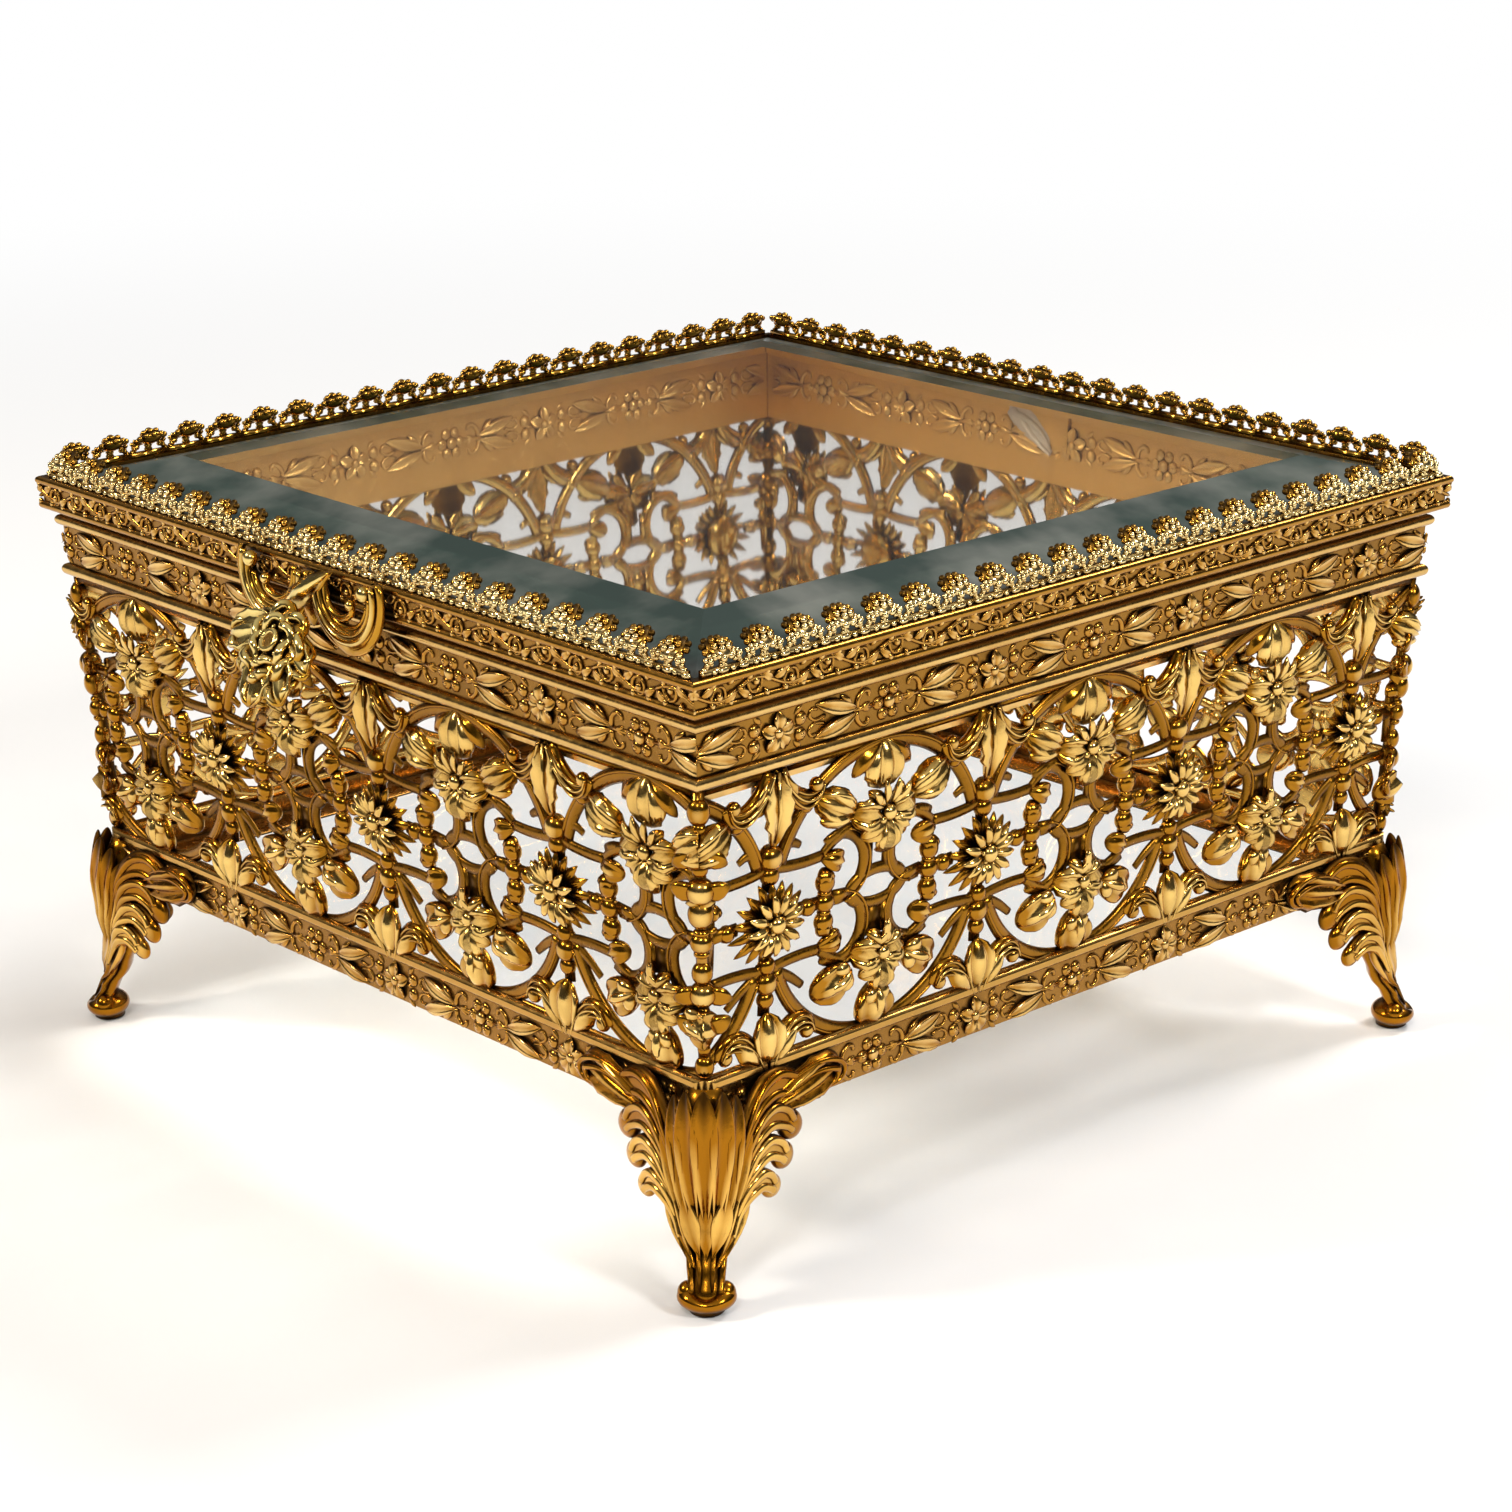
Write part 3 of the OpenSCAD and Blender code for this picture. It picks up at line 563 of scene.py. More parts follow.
def gilding_with_painted_light():
    """Colour, roughness and height of the gilding: the recesses darken with patina and with painted shade where ambient
    occlusion finds them shut in, and the high, open parts brighten with wear and a painted highlight, with a fine grain
    and slow clouds of tone"""
    group = bpy.data.node_groups.new("gilding_with_painted_light", "ShaderNodeTree")
    for name, kind, value in (
        ("Gilt", "Color", (0.7, 0.45, 0.15, 1)), ("WornAndHighlight", "Color", (0.95, 0.75, 0.4, 1)),
        ("PatinaAndShade", "Color", (0.06, 0.04, 0.02, 1)), ("Relief", "Float", 0.5), ("Open", "Float", 1.0),
        ("Gloss", "Float", 0.25),
    ):
        group.interface.new_socket(name, in_out="INPUT", socket_type="NodeSocket" + kind).default_value = value
    for name, kind in (("Color", "Color"), ("Roughness", "Float"), ("Height", "Float")):
        group.interface.new_socket(name, in_out="OUTPUT", socket_type="NodeSocket" + kind)
    given = group.nodes.new("NodeGroupInput").outputs
    place = add_node(group, "TexCoord").outputs["Object"]

    def noise_at(scale, detail):
        return add_node(group, "TexNoise", {"Scale": scale, "Detail": detail, "Vector": place})

    def above(value, level, times, clamp=True):
        return maths(group, "MULTIPLY", maths(group, "SUBTRACT", value, level), times, clamp=clamp)

    clouds = noise_at(90, 3)
    grain = noise_at(900, 4)
    ragged = maths(group, "ADD", given["Relief"], above(clouds, 0.5, 0.35, clamp=False))
    # Low parts of the relief darken towards the patina colour, partly as real patina and partly as painted shade
    dark = maths(group, "MULTIPLY", above(0.49, ragged, 2.7), 0.9)
    # Painted shade: crevices that ambient occlusion finds shut in darken towards the patina colour
    painted_crevice_shade = above(0.8, given["Open"], 2.1)
    recess = maths(group, "MAXIMUM", dark, painted_crevice_shade, clamp=True)
    # High, open parts turn to the pale worn colour: partly wear, partly a painted highlight
    bright = maths(group, "MULTIPLY", above(ragged, 0.76, 2.8), given["Open"])
    gilt = blend(group, bright, given["Gilt"], given["WornAndHighlight"])
    rough = maths(group, "ADD", given["Gloss"], maths(group, "MULTIPLY", recess, 0.3))
    rough = maths(group, "ADD", rough, above(grain, 0.5, 0.35, clamp=False), clamp=True)
    colour = blend(group, recess, gilt, given["PatinaAndShade"])
    height = maths(group, "ADD", maths(group, "MULTIPLY", grain, 0.4), clouds)
    result = group.nodes.new("NodeGroupOutput")
    set_inputs(group, result, {"Color": colour, "Roughness": rough, "Height": height})
    return group


gilding = gilding_with_painted_light()


def gilt_metal(name, gilt, worn_and_highlight, patina_and_shade, gloss, relief=False, crevice=0.0015, bump=0.15, face=None):
    """Gilt brass with its own three tones: the gilt, the worn colour that is also its painted highlight, and the patina
    that is also its painted shade; relief reads the height that pieces keep, and face gives the half width and level of
    a leaning ground that beads stand on"""
    made, tree, shader = new_material(name)
    # Ambient occlusion drives the painted shade in crevices and keeps the painted highlight off them
    corner = add_node(tree, "AmbientOcclusion", {"Distance": crevice}, samples=6)
    gilt_wear_and_shade = add_node(tree, "Group", {"Gilt": (*gilt, 1), "WornAndHighlight": (*worn_and_highlight, 1), "PatinaAndShade": (*patina_and_shade, 1), "Gloss": gloss,
                                    "Open": corner.outputs["AO"]}, node_tree=gilding)
    if relief:
        set_inputs(tree, gilt_wear_and_shade, {"Relief": add_node(tree, "Attribute", attribute_name="relief").outputs["Fac"]})
    if face:
        half, level = face
        place = add_node(tree, "TexCoord").outputs["Object"]
        shift = add_node(tree, "VectorMath", {0: place, 1: (casket_middle.x, casket_middle.y, level)},
                         operation="SUBTRACT")
        size = add_node(tree, "VectorMath", {0: shift}, operation="ABSOLUTE")
        parts = add_node(tree, "SeparateXYZ", {"Vector": size}).outputs
        off = maths(tree, "MAXIMUM", parts["X"], parts["Y"])
        upright = maths(tree, "MULTIPLY_ADD", parts["Z"], -tan(wall_lean), off)
        stands = add_node(tree, "MapRange", {"Value": upright, "From Min": half + 0.0002, "From Max": half + 0.0008,
                                             "To Min": 0.36, "To Max": 0.95})
        set_inputs(tree, gilt_wear_and_shade, {"Relief": stands})
    dents = add_node(tree, "Bump", {"Strength": bump, "Distance": 0.0003, "Height": gilt_wear_and_shade.outputs["Height"]})
    set_inputs(tree, shader, {"Metallic": 1.0, "Base Color": gilt_wear_and_shade.outputs["Color"],
                              "Roughness": gilt_wear_and_shade.outputs["Roughness"], "Normal": dents})
    return made


openwork_metal = gilt_metal("openwork_gilt", (0.38, 0.165, 0.013), (1.0, 0.69, 0.22), (0.024, 0.011, 0.003), 0.15,
                            relief=True, bump=0.3)
repeat_mesh = one_repeat()
for side, opposite in (("front", "back"), ("right", "left")):
    wall = bmesh.new()
    for k in range(-3, 3):
        add_copy(wall, repeat_mesh, k * repeat_w + daisy_shift[side] + repeat_w / 2, 0, 0)
    for v0, v1 in ((0.4, 1.5), (38.7, 39.5)):
        block(wall, (0, (v0 + v1) / 2, 0), (150, v1 - v0, 0.9))
    put(wall, Matrix.Diagonal((1, wall_slant / repeat_h, 1, 1)))
    # The back of the sheet gets the full height, so it is painted as bright as the high parts: painted light for the
    # dim inside
    keep_relief(wall, -0.3, 1.7, back=1.0)
    put(wall, placed((0, 0, -0.6)))
    put(wall, leaning_face(foot_half, wall_foot, wall_lean))
    mitre(wall)
    drop_slivers(wall, smallest_bit)
    places = {name: on_casket(name) for name in (side, opposite)}
    finish_copies(wall, places, "openwork_", "box", openwork_metal, "filigree_")

# The corners carry a chain of beads that hides the soldered seam
chain = bmesh.new()
for v, r, tall in ((3.2, 1.2, 1.3), (5.6, 0.8, 1), (8.0, 1.5, 1), (10.6, 0.9, 1), (13.0, 1.7, 1), (15.8, 1.3, 1.2),
                   (18.4, 1.0, 0.6), (19.8, 1.4, 1), (21.2, 1.0, 0.6), (23.6, 1.6, 1.2), (26.6, 1.8, 1), (29.4, 1.0, 1),
                   (31.8, 1.6, 1.2), (34.6, 0.9, 1), (36.8, 1.4, 1.3)):
    bead(chain, (0, v, -0.6), r, 0.9, 3, tall)
rib(chain, [(0, 0.2, -0.9), (0, 39.4, -0.9)], 1.5, 1.4)
for v, turn in ((8.0, 60), (31.8, 120), (26.0, 70), (13.5, 110)):
    for s in (-1, 1):
        petal(chain, (0, v, -0.9), s * turn, 3.8, 2.6, 1.4, (0.5, 0.7, 0.4), (1, -0.15))
keep_relief(chain, -1.4, 0.9, back=0.8)
corner_lean = atan(tan(wall_lean) * sqrt(2))
places = {
    corner: about_middle(turn) @ leaning_face(foot_half * sqrt(2), wall_foot, corner_lean)
    for corner, turn in (("front_right", 45), ("back_right", 135), ("back_left", 225), ("front_left", 315))
}
finish_copies(chain, places, "corner_beads_", "box", openwork_metal)

# -------- base band, moulding and floor
# The base band is a relief strip bent round the casket, with a plain half-round
# moulding on top; a sheet of clear glass lies in it as the floor.
band_metal = gilt_metal("band_gilt", (0.36, 0.175, 0.035), (0.70, 0.42, 0.13), (0.06, 0.033, 0.012), 0.26, bump=0.4)
relief_metal = gilt_metal("band_relief_gilt", (0.46, 0.22, 0.036), (0.90, 0.60, 0.21), (0.05, 0.028, 0.01), 0.18,
                          relief=True, crevice=0.0012)
bead_metal = gilt_metal("bead_gilt", (0.58, 0.32, 0.075), (0.90, 0.62, 0.24), (0.10, 0.055, 0.02), 0.18, crevice=0.002)


def give_material(node, material):
    """Puts a material on a part that keeps its own shape"""
    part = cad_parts[node]
    if not part.data.materials:
        part.data.materials.append(material)
    part.material_slots[0].material = material


give_material("base_band", band_metal)
give_material("base_moulding", bead_metal)


def knob_flower(bm, u):
    """Flower of six round knobs on a relief strip, with two curled hooks and a pair
    of lance leaves that open away at either side"""
    for k in range(6):
        turn = radians(60 * k + 30)
        bead(bm, (u + 1.7 * sin(turn), 1.7 * cos(turn), 0.0), 0.9, 0.5)
        bead(bm, (u + 1.7 * sin(turn), 1.7 * cos(turn), 0.35), 0.4, 0.6, 1)
    bead(bm, (u, 0, 0.1), 0.95, 0.7)
    for s in (-1, 1):
        node = u + s * 4.9
        rib(bm, [(u + s * 2.3, 0), (node + s, 0)], 0.7, 0.6, sides=6)
        for v in (-1, 1):
            petal(bm, (node, v * 0.2, 0), s * (90 - v * 15), 7.6, 2.0, 0.9, (0.55, 0.9, 0.35), (1, -0.3), rings=10)
            petal(bm, (node + s * 1.2, v * 0.6, 0), s * (90 - v * 44), 2.8, 1.2, 0.7, (0.5, 0.9, 0.2))
            rib(bm, flow([(node + s * 5.6, v * 0.5), (node + s * 7.2, v * 0.2), (node + s * 8.2, v * 0.9),
                          (node + s * 7.8, v * 1.7), (node + s * 7.0, v * 1.6)], 3), 0.5, 0.55, sides=6)
            rib(bm, flow([(node + s * 0.4, v * 0.3), (node + s * 0.2, v * 1.4), (node - s * 0.7, v * 2.2),
                          (node - s * 1.5, v * 2.0), (node - s * 1.6, v * 1.4)], 3), 0.8, 0.8, (1, 0.9, 0.7), sides=6)
            petal(bm, (node - s * 0.2, v * 0.3, 0), -s * (90 + v * 28), 1.9, 0.9, 0.6, (0.5, 0.9, 0.0))


def star_flower(bm, u):
    """Flower of five pointed petals between round buds"""
    for k in range(5):
        petal(bm, (u, 0, 0), 72 * k, 2.7, 1.9, 0.6, (0.6, 0.8, 0.3), (1, -0.15), cup=0.2)
    bead(bm, (u, 0, 0.2), 0.75, 0.8)
    for s in (-1, 1):
        rib(bm, [(u + s * 2.0, 0), (u + s * 3.6, 0)], 0.6, 0.5, sides=6)
        for v in (-1, 1):
            bead(bm, (u + s * 3.7, v * 1.0, 0), 0.95, 0.55)
            bead(bm, (u + s * 3.7, v * 1.0, 0.35), 0.4, 0.6, 1)
            petal(bm, (u + s * 2.6, v * 1.6, 0), s * (90 - v * 40), 1.8, 0.9, 0.5, (0.5, 0.9, 0.0))


def dress_band(name, repeat, pitch, shifts, level, half, height, lean, body):
    """Lays a relief on the four sides of a band, its middle at a level up the band"""
    reach = round(75 / pitch)
    for side in turns:
        strip = bmesh.new()
        for k in range(-reach - 1, reach + 1):
            add_copy(strip, repeat, k * pitch + shifts[side], level, 0)
        keep_relief(strip, -0.15, 0.6)
        put(strip, leaning_face(half, height, lean))
        mitre(strip)
        put(strip, on_casket(side))
        finish_piece(strip, name + "_" + side, body, relief_metal)


column_shift = dict.fromkeys(("front", "back"), daisy_shift["front"] + repeat_w / 2) | {"right": 0, "left": 0}
flowers = bmesh.new()
knob_flower(flowers, 0)
star_flower(flowers, repeat_w / 2)
strip_repeat = keep_mesh(flowers, "band_relief")
dress_band("base_relief", strip_repeat, repeat_w, column_shift, (base_high.z - base_low.z) / MM / 2 - 0.2, foot_half,
           base_low.z, 0, "box")


def let_light_in(tree, surface, tint):
    """Light for the inside passes straight through a glass, thinned by its tint"""
    through = add_node(tree, "BsdfTransparent", {"Color": tint})
    path = add_node(tree, "LightPath")
    lit = add_node(tree, "MixShader", {0: path.outputs["Is Shadow Ray"], 1: surface, 2: through})
    set_inputs(tree, tree.nodes["Material Output"], {"Surface": lit})


floor_glass, tree, shader = new_material("floor_glass")
set_inputs(tree, shader, {"Base Color": (0.97, 0.98, 0.97, 1), "Roughness": 0.02, "Transmission Weight": 1.0,
                          "IOR": 1.2})
let_light_in(tree, shader, (1.0, 1.0, 1.0, 1))
give_material("floor_plate", floor_glass)
# A thin brass ledge lies round the glass
floor_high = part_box("floor_plate")[1]
ledge_wide, ledge_thick = 0.008, 0.0003
ledge = bmesh.new()
bmesh.ops.create_grid(ledge, x_segments=1, y_segments=1, size=floor_high.x - 0.0002)
kept = set(bmesh.ops.inset_region(ledge, faces=ledge.faces[:], thickness=ledge_wide, use_boundary=True)["faces"])
bmesh.ops.delete(ledge, geom=[f for f in ledge.faces if f not in kept], context="FACES")
put(ledge, placed((casket_middle.x, casket_middle.y, floor_high.z + ledge_thick)))
bmesh.ops.solidify(ledge, geom=ledge.faces[:], thickness=ledge_thick)
face_out(ledge)
finish_piece(ledge, "floor_ledge", "box", band_metal)

# -------- rim bands and liner
# Four relief strips rolled between two plain beads, mitred and soldered at the
# corners, and backed by a plain strip that the lid rests on.
strip_tones = (0.41, 0.195, 0.028), (0.92, 0.63, 0.23), (0.05, 0.027, 0.009), 0.17
rim_metal = gilt_metal("rim_gilt", *strip_tones, crevice=0.002, bump=0.35, face=(foot_half, wall_foot))
for side in turns:
    give_material("rim_band_" + side, rim_metal)
# The inner sheet gets a paler gilt than the outside: painted light for the inside, where little light reaches
lightened_inner_metal = gilt_metal("sheet_gilt", (0.86, 0.55, 0.19), (1.0, 0.80, 0.42), (0.20, 0.11, 0.035), 0.38, crevice=0.0006,
                         bump=0.8)
give_material("rim_liner", lightened_inner_metal)
rim_low, rim_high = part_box("rim_band_front")
rim_slant = (rim_high.z - rim_low.z) / cos(wall_lean) / MM
dress_band("rim_relief", strip_repeat, repeat_w, column_shift, wall_slant + rim_slant / 2 + 0.1, foot_half, wall_foot,
           wall_lean, "box")

# The relief shows through on the inner side of the band, shallow and in reverse
liner_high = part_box("rim_liner")[1]
liner_thick = 0.0008
liner_half = liner_high.x - liner_thick - tan(wall_lean) * (liner_high.z - rim_low.z)
inside = leaning_face(-liner_half, rim_low.z, -wall_lean)
for side in turns:
    strip = bmesh.new()
    for k in range(-2, 3):
        add_copy(strip, strip_repeat, k * repeat_w + column_shift[side], rim_slant / 2, 0)
    bmesh.ops.delete(strip, geom=[v for v in strip.verts if abs(v.co.x) > liner_half / MM - 1], context="VERTS")
    put(strip, inside)
    put(strip, on_casket(side))
    finish_piece(strip, "liner_relief_" + side, "box", lightened_inner_metal)

# -------- old solder
# A grey run of soft solder down the inside of the back, beside the hinge, left by a
# repair.
solder = bmesh.new()
for shift, width, lift in ((0.0, 4.2, 0.5), (1.0, 1.0, 0.95), (-0.9, 1.1, 0.95)):
    run = [(-9.4, 8.7, lift), (-8.3, 7.7, lift), (-6.8, 6.9 + shift / 2, lift), (-4.6, 5.5 + shift, lift),
           (-2.6, 4.3 + shift, lift), (-1.2, 2.9 + shift / 2, lift - 0.2)]
    rib(solder, flow(run, 6), width, 0.9, (0.9, 1, 0.4), sides=12)
face_out(solder)
put(solder, on_casket("front") @ inside)
solder_grey, tree, shader = new_material("old_solder")
place = add_node(tree, "TexCoord")
streaks = add_node(tree, "TexNoise", {"Scale": 1500, "Vector": place.outputs["Object"]})
dents = add_node(tree, "Bump", {"Strength": 0.5, "Distance": 0.0003, "Height": streaks})
set_inputs(tree, shader, {"Base Color": (0.68, 0.60, 0.50, 1), "Metallic": 0.4, "Roughness": 0.6, "Normal": dents})
finish_piece(solder, "old_solder", "box", solder_grey)

# -------- feet
# Four cast feet, each a cabriole leg with a fluted fan in the middle and curling
# leaves at both sides, soldered over the corners of the base band.
foot_metal = gilt_metal("foot_gilt", (0.37, 0.145, 0.008), (0.98, 0.60, 0.14), (0.024, 0.011, 0.003), 0.17, relief=True,
                        crevice=0.0018)
corner_at = foot_half / MM
# Height, distance of the middle past the corner and radius of the leg's stations
leg_line = [(0, 1.9, 2.2), (2.6, 1.85, 2.2), (5, 0.95, 2.1), (8, -0.4, 2.2), (11.5, -1.0, 2.5), (17, -0.9, 3.1),
            (23, -0.6, 3.5), (28.2, -0.4, 3.3)]


def leg_at(height):
    """Distance of the leg's middle per axis, and its radius, at a height"""
    for (z0, d0, r0), (z1, d1, r1) in zip(leg_line, leg_line[1:]):
        if height <= z1:
            break
    t = min(1.0, max(0.0, (height - z0) / (z1 - z0)))
    t = t * t * (3 - 2 * t)
    return corner_at + d0 + (d1 - d0) * t, r0 + (r1 - r0) * t


def round_the_leg(bm):
    """Bends a flat foot, drawn across, up and out, round the leg and on to both faces"""
    for v in bm.verts:
        across, height, out = v.co
        middle, radius = leg_at(height)
        reach = abs(across)
        bend = radius * pi / 4
        if reach <= bend:
            angle = radians(-45) + reach / radius
            x = middle + (radius + out) * cos(angle)
            y = -middle + (radius + out) * sin(angle)
        else:
            fade = exp(-(((reach - bend) / 7) ** 2))
            x = corner_at + 0.9 + (middle + radius - corner_at - 0.9) * fade + out
            y = -middle + reach - bend
        if across < 0:
            x, y = -y, -x
        v.co = (x, y, height)


foot = bmesh.new()
# Hollow flutes fan out from the neck to a crown of points over the base band
for k in range(-3, 4):
    turn, tall = 6.0 * k, 20.4 - 0.28 * k * k
    petal(foot, (0.35 * k, 7.4, 0.3), turn, tall + 1, 2.9, 2.2, (0.76, 0.6, 0.5), (1, -0.6), droop=0.5, sides=24,
          rings=20)
petal(foot, (0.0, 6.0, 0.0), 0, 20.5, 10.0, 1.4, (0.75, 0.7, 0.2), sides=24, rings=16)
petal(foot, (0.0, 6.6, 0.7), 0, 7.4, 1.6, 1.2, (0.6, 0.8, 0.4), (1, -0.3), sides=16, rings=12)
for s in (-1, 1):
    # Four leaves curl over one another down each side
    leaves = (
        ((4.6, 17.4), (6.2, 21.6), (8.8, 24.8), (12.0, 26.0), (14.8, 25.2), (16.1, 23.8)),
        ((4.0, 14.2), (5.5, 18.0), (7.9, 21.0), (10.8, 22.2), (13.2, 21.4), (14.3, 20.1)),
        ((3.3, 11.6), (4.6, 14.8), (6.8, 17.4), (9.4, 18.5), (11.4, 17.7), (12.3, 16.6)),
        ((2.5, 9.4), (3.5, 12.0), (5.2, 14.0), (7.4, 14.9), (8.9, 14.3), (9.6, 13.4)),
    )
    for k, leaf in enumerate(leaves):
        broad = 4.6 - 0.4 * k
        rib(foot, flow([(s * x, z, 0.35 * k) for x, z in leaf], 6), broad, 1.9, (0.35, 1, 0.85), sides=20)
        bead(foot, (s * leaf[-1][0], leaf[-1][1], 0.35 * k), broad * 0.5, 0.5, 3)
        for drop in (0.85, -0.65):
            edge = []
            for (x, z), spread in zip(leaf, (0.3, 0.75, 1, 1, 0.9, 0.6)):
                shift = drop * spread * broad / 2.9
                edge.append((s * (x + 0.35 * shift), z + shift, 0.95 - 0.22 * abs(drop) + 0.35 * k))
            rib(foot, flow(edge, 6), 1.35, 1.0, (0.35, 1, 0.85), sides=10)
    # A folded ear lies along the base band on either side
    petal(foot, (s * 10.0, 22.8, 0.0), s * 77, 14.0, 5.8, 1.8, (0.68, 0.42, 0.6), (3, 0.5), sides=30, rings=18,
          jag=0.06)
    for rise in (0, 1.2):
        ear = [(12, 24.6 - rise, 0.6), (15.5, 26.3 - rise, 0.9), (19.2, 27.1 - rise, 1.0), (22.2, 26.6 - rise, 1.0),
               (23.7 - rise, 25.2 - rise / 2, 0.9), (22.8 - rise, 23.7, 0.9), (19.8, 23.1 + rise / 2, 0.8)]
        rib(foot, flow([(s * x, z, w) for x, z, w in ear], 5), 0.9, 0.9, (0.5, 1, 0.5))
    # Small leaves cross at the neck, and a bead runs down each edge of the ankle
    petal(foot, (s * 1.0, 5.8, 0.6), s * 25, 11.0, 2.7, 1.4, (0.6, 0.7, 0.6), (1, -0.4), sides=18, rings=14)
    petal(foot, (s * 0.5, 6.8, 0.8), s * 11, 8.4, 2.0, 1.2, (0.6, 0.8, 0.5), (1, -0.3), sides=16, rings=12)
    rib(foot, flow([(s * 1.9, 2.9, 0.1), (s * 2.0, 5.4, 0.3), (s * 2.2, 8.0, 0.5), (s * 3.2, 11.0, 0.6)], 5), 0.95, 1.0)
for across in (-0.8, 0.8):
    rib(foot, [(across, 3.2, 0.0), (across, 5.6, 0.2), (across * 1.2, 8.0, 0.4)], 0.7, 0.7, (0.5, 1, 0.6))
keep_relief(foot, -0.05, 1.8)
round_the_leg(foot)
leg = bmesh.new()
relief_layer = leg.verts.layers.float.new("relief")
steps = 3
heights = [leg_line[0][0]]
for (z0, *_), (z1, *_) in zip(leg_line, leg_line[1:]):
    heights += [z0 + (z1 - z0) * (j + 1) / steps for j in range(steps)]
stations = []
for height in heights:
    d, r = leg_at(height)
    stations.append(placed((d, -d, height), (r, r, 1)))
loft(leg, stations, 32)
# The leg is a thin shell, hollow behind, so it is slender from the side above the toe
for v in leg.verts:
    d, r = leg_at(v.co.z)
    tuck = max(0.0, v.co.z - 23) / 12
    v.co.x -= (v.co.x - d + 1.5) * tuck
    v.co.y -= (v.co.y + d - 1.5) * tuck
    behind = (v.co.x - d - (v.co.y + d)) / 2
    if behind < 0:
        slim = max(0.0, min(1.0, (15 - v.co.z) / 5)) * max(0.0, min(1.0, (v.co.z - 2.0) / 1.5))
        v.co.x -= behind * 0.75 * slim
        v.co.y += behind * 0.75 * slim
toe = corner_at + 2.0
for s in (-1, 1):
    knob = placed((toe + s * 1.6, -toe + s * 1.6, 2.4), (1.35, 1.35, 1.5))
    bmesh.ops.create_icosphere(leg, subdivisions=3, radius=1, matrix=knob)
for v in leg.verts:
    v[relief_layer] = 0.45
pad = placed((toe, -toe, 1.9)) @ spun(45, "Z") @ Matrix.Diagonal((3.7, 3.1, 1.9, 1))
made = bmesh.ops.create_uvsphere(leg, u_segments=32, v_segments=16, radius=1, matrix=pad)
for v in made["verts"]:
    hollow = (v.co - Vector((toe + 1.0, -toe - 1.0, 3.1))).length
    v.co.z = max(0.0, v.co.z - 1.3 * exp(-((hollow / 1.5) ** 2)))
    v[relief_layer] = 0.6
foot.from_mesh(as_mesh(leg, "leg"))
face_out(foot)
put(foot, Matrix.Scale(MM, 4))
corners = {"front_right": "front", "back_right": "right", "back_left": "back", "front_left": "left"}
places = {corner: on_casket(side) for corner, side in corners.items()}
finish_copies(foot, places, "acanthus_foot_", "box", foot_metal, "foot_")

# -------- hinge
# A small hinge at the back, two folded leaves on a wire pin, soldered inside the
# rim and to the glass seat.
for node in ("hinge_leaf_body", "hinge_leaf_lid", "hinge_pin"):
    give_material(node, lightened_inner_metal)

# -------- lid bands
# Four relief strips with a running scroll over a plain bead, mitred at the
# corners; they hold the glass seat.
lid_low, lid_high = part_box("lid_band_front")
lid_overhang = 0.00155
lid_face = foot_half + tan(wall_lean) * (rim_high.z - wall_foot) + lid_overhang
lid_metal = gilt_metal("lid_gilt", *strip_tones, crevice=0.002, bump=0.35, face=(lid_face, lid_low.z))
for side in turns:
    give_material("lid_band_" + side, lid_metal)
vine = bmesh.new()
vine_pitch = 11.4
rib(vine, [(-vine_pitch / 2 + vine_pitch * k / 16, 0.75 * sin(2 * pi * k / 16)) for k in range(17)], 0.55, 0.7, sides=6)
for s in (-1, 1):
    u, v = s * vine_pitch / 4, -s * 0.35
    spiral = []
    for k in range(15):
        angle, radius = radians(s * (200 - 27 * k)), 1.35 - 0.055 * k
        spiral.append((u + radius * cos(angle), v + radius * sin(angle)))
    rib(vine, spiral, 0.5, 0.7, (1, 0.9, 0.7), sides=6)
    bead(vine, (u, v, 0.1), 0.5, 0.7)
    petal(vine, (0, 0, 0), s * 62, 2.4, 1.0, 0.6, (0.5, 0.9, 0.15), (1, -0.1))
    petal(vine, (s * vine_pitch / 2, 0, 0), -s * 118, 2.4, 1.0, 0.6, (0.5, 0.9, 0.15), (1, -0.1))
for k in range(4):
    for s in (-1, 1):
        at = (k - 1.5) * vine_pitch / 4
        petal(vine, (at, s * 0.6, 0), 90 - s * (50 + 10 * (k % 2)), 1.2, 0.8, 0.6, (0.5, 0.8, 0.15))
put(vine, Matrix.Diagonal((1, 1.2, 1.35, 1)))
vine_mesh = keep_mesh(vine, "vine_repeat")
lid_slant = (lid_high.z - lid_low.z) / cos(wall_lean) / MM
dress_band("lid_relief", vine_mesh, vine_pitch, dict.fromkeys(turns, 0), lid_slant / 2 + 0.1, lid_face, lid_low.z,
           wall_lean, "lid")

# -------- glass
# A thick square of glass with a wide bevel, on a flat seat inside the lid bands.
give_material("glass_seat", lightened_inner_metal)
glass_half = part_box("glass_panel")[1].x
bevel_wide = 0.0126
clear, tree, shader = new_material("bevelled_glass")
place = add_node(tree, "TexCoord").outputs["Object"]
parts = add_node(tree, "SeparateXYZ", {"Vector": place}).outputs
off_y = maths(tree, "ABSOLUTE", maths(tree, "SUBTRACT", parts["Y"], casket_middle.y))
off = maths(tree, "MAXIMUM", maths(tree, "ABSOLUTE", parts["X"]), off_y)
on_bevel = maths(tree, "GREATER_THAN", off, glass_half - bevel_wide)
bevel_noise = add_node(tree, "TexNoise", {"Scale": 70, "Detail": 4, "Vector": place})
cloudy = maths(tree, "MULTIPLY", maths(tree, "SUBTRACT", bevel_noise, 0.42), 3.2)
# The bevel's transmission is tinted dark grey-green, painted shade for the dark inside seen through it
shaded_bevel_tint = blend(tree, cloudy, (0.10, 0.15, 0.13, 1), (0.30, 0.33, 0.30, 1))
tint = blend(tree, on_bevel, (0.97, 0.95, 0.91, 1), shaded_bevel_tint)
set_inputs(tree, shader, {"Base Color": tint, "Roughness": 0.02, "Transmission Weight": 1.0, "IOR": 1.35,
                          "Specular IOR Level": 0.15})
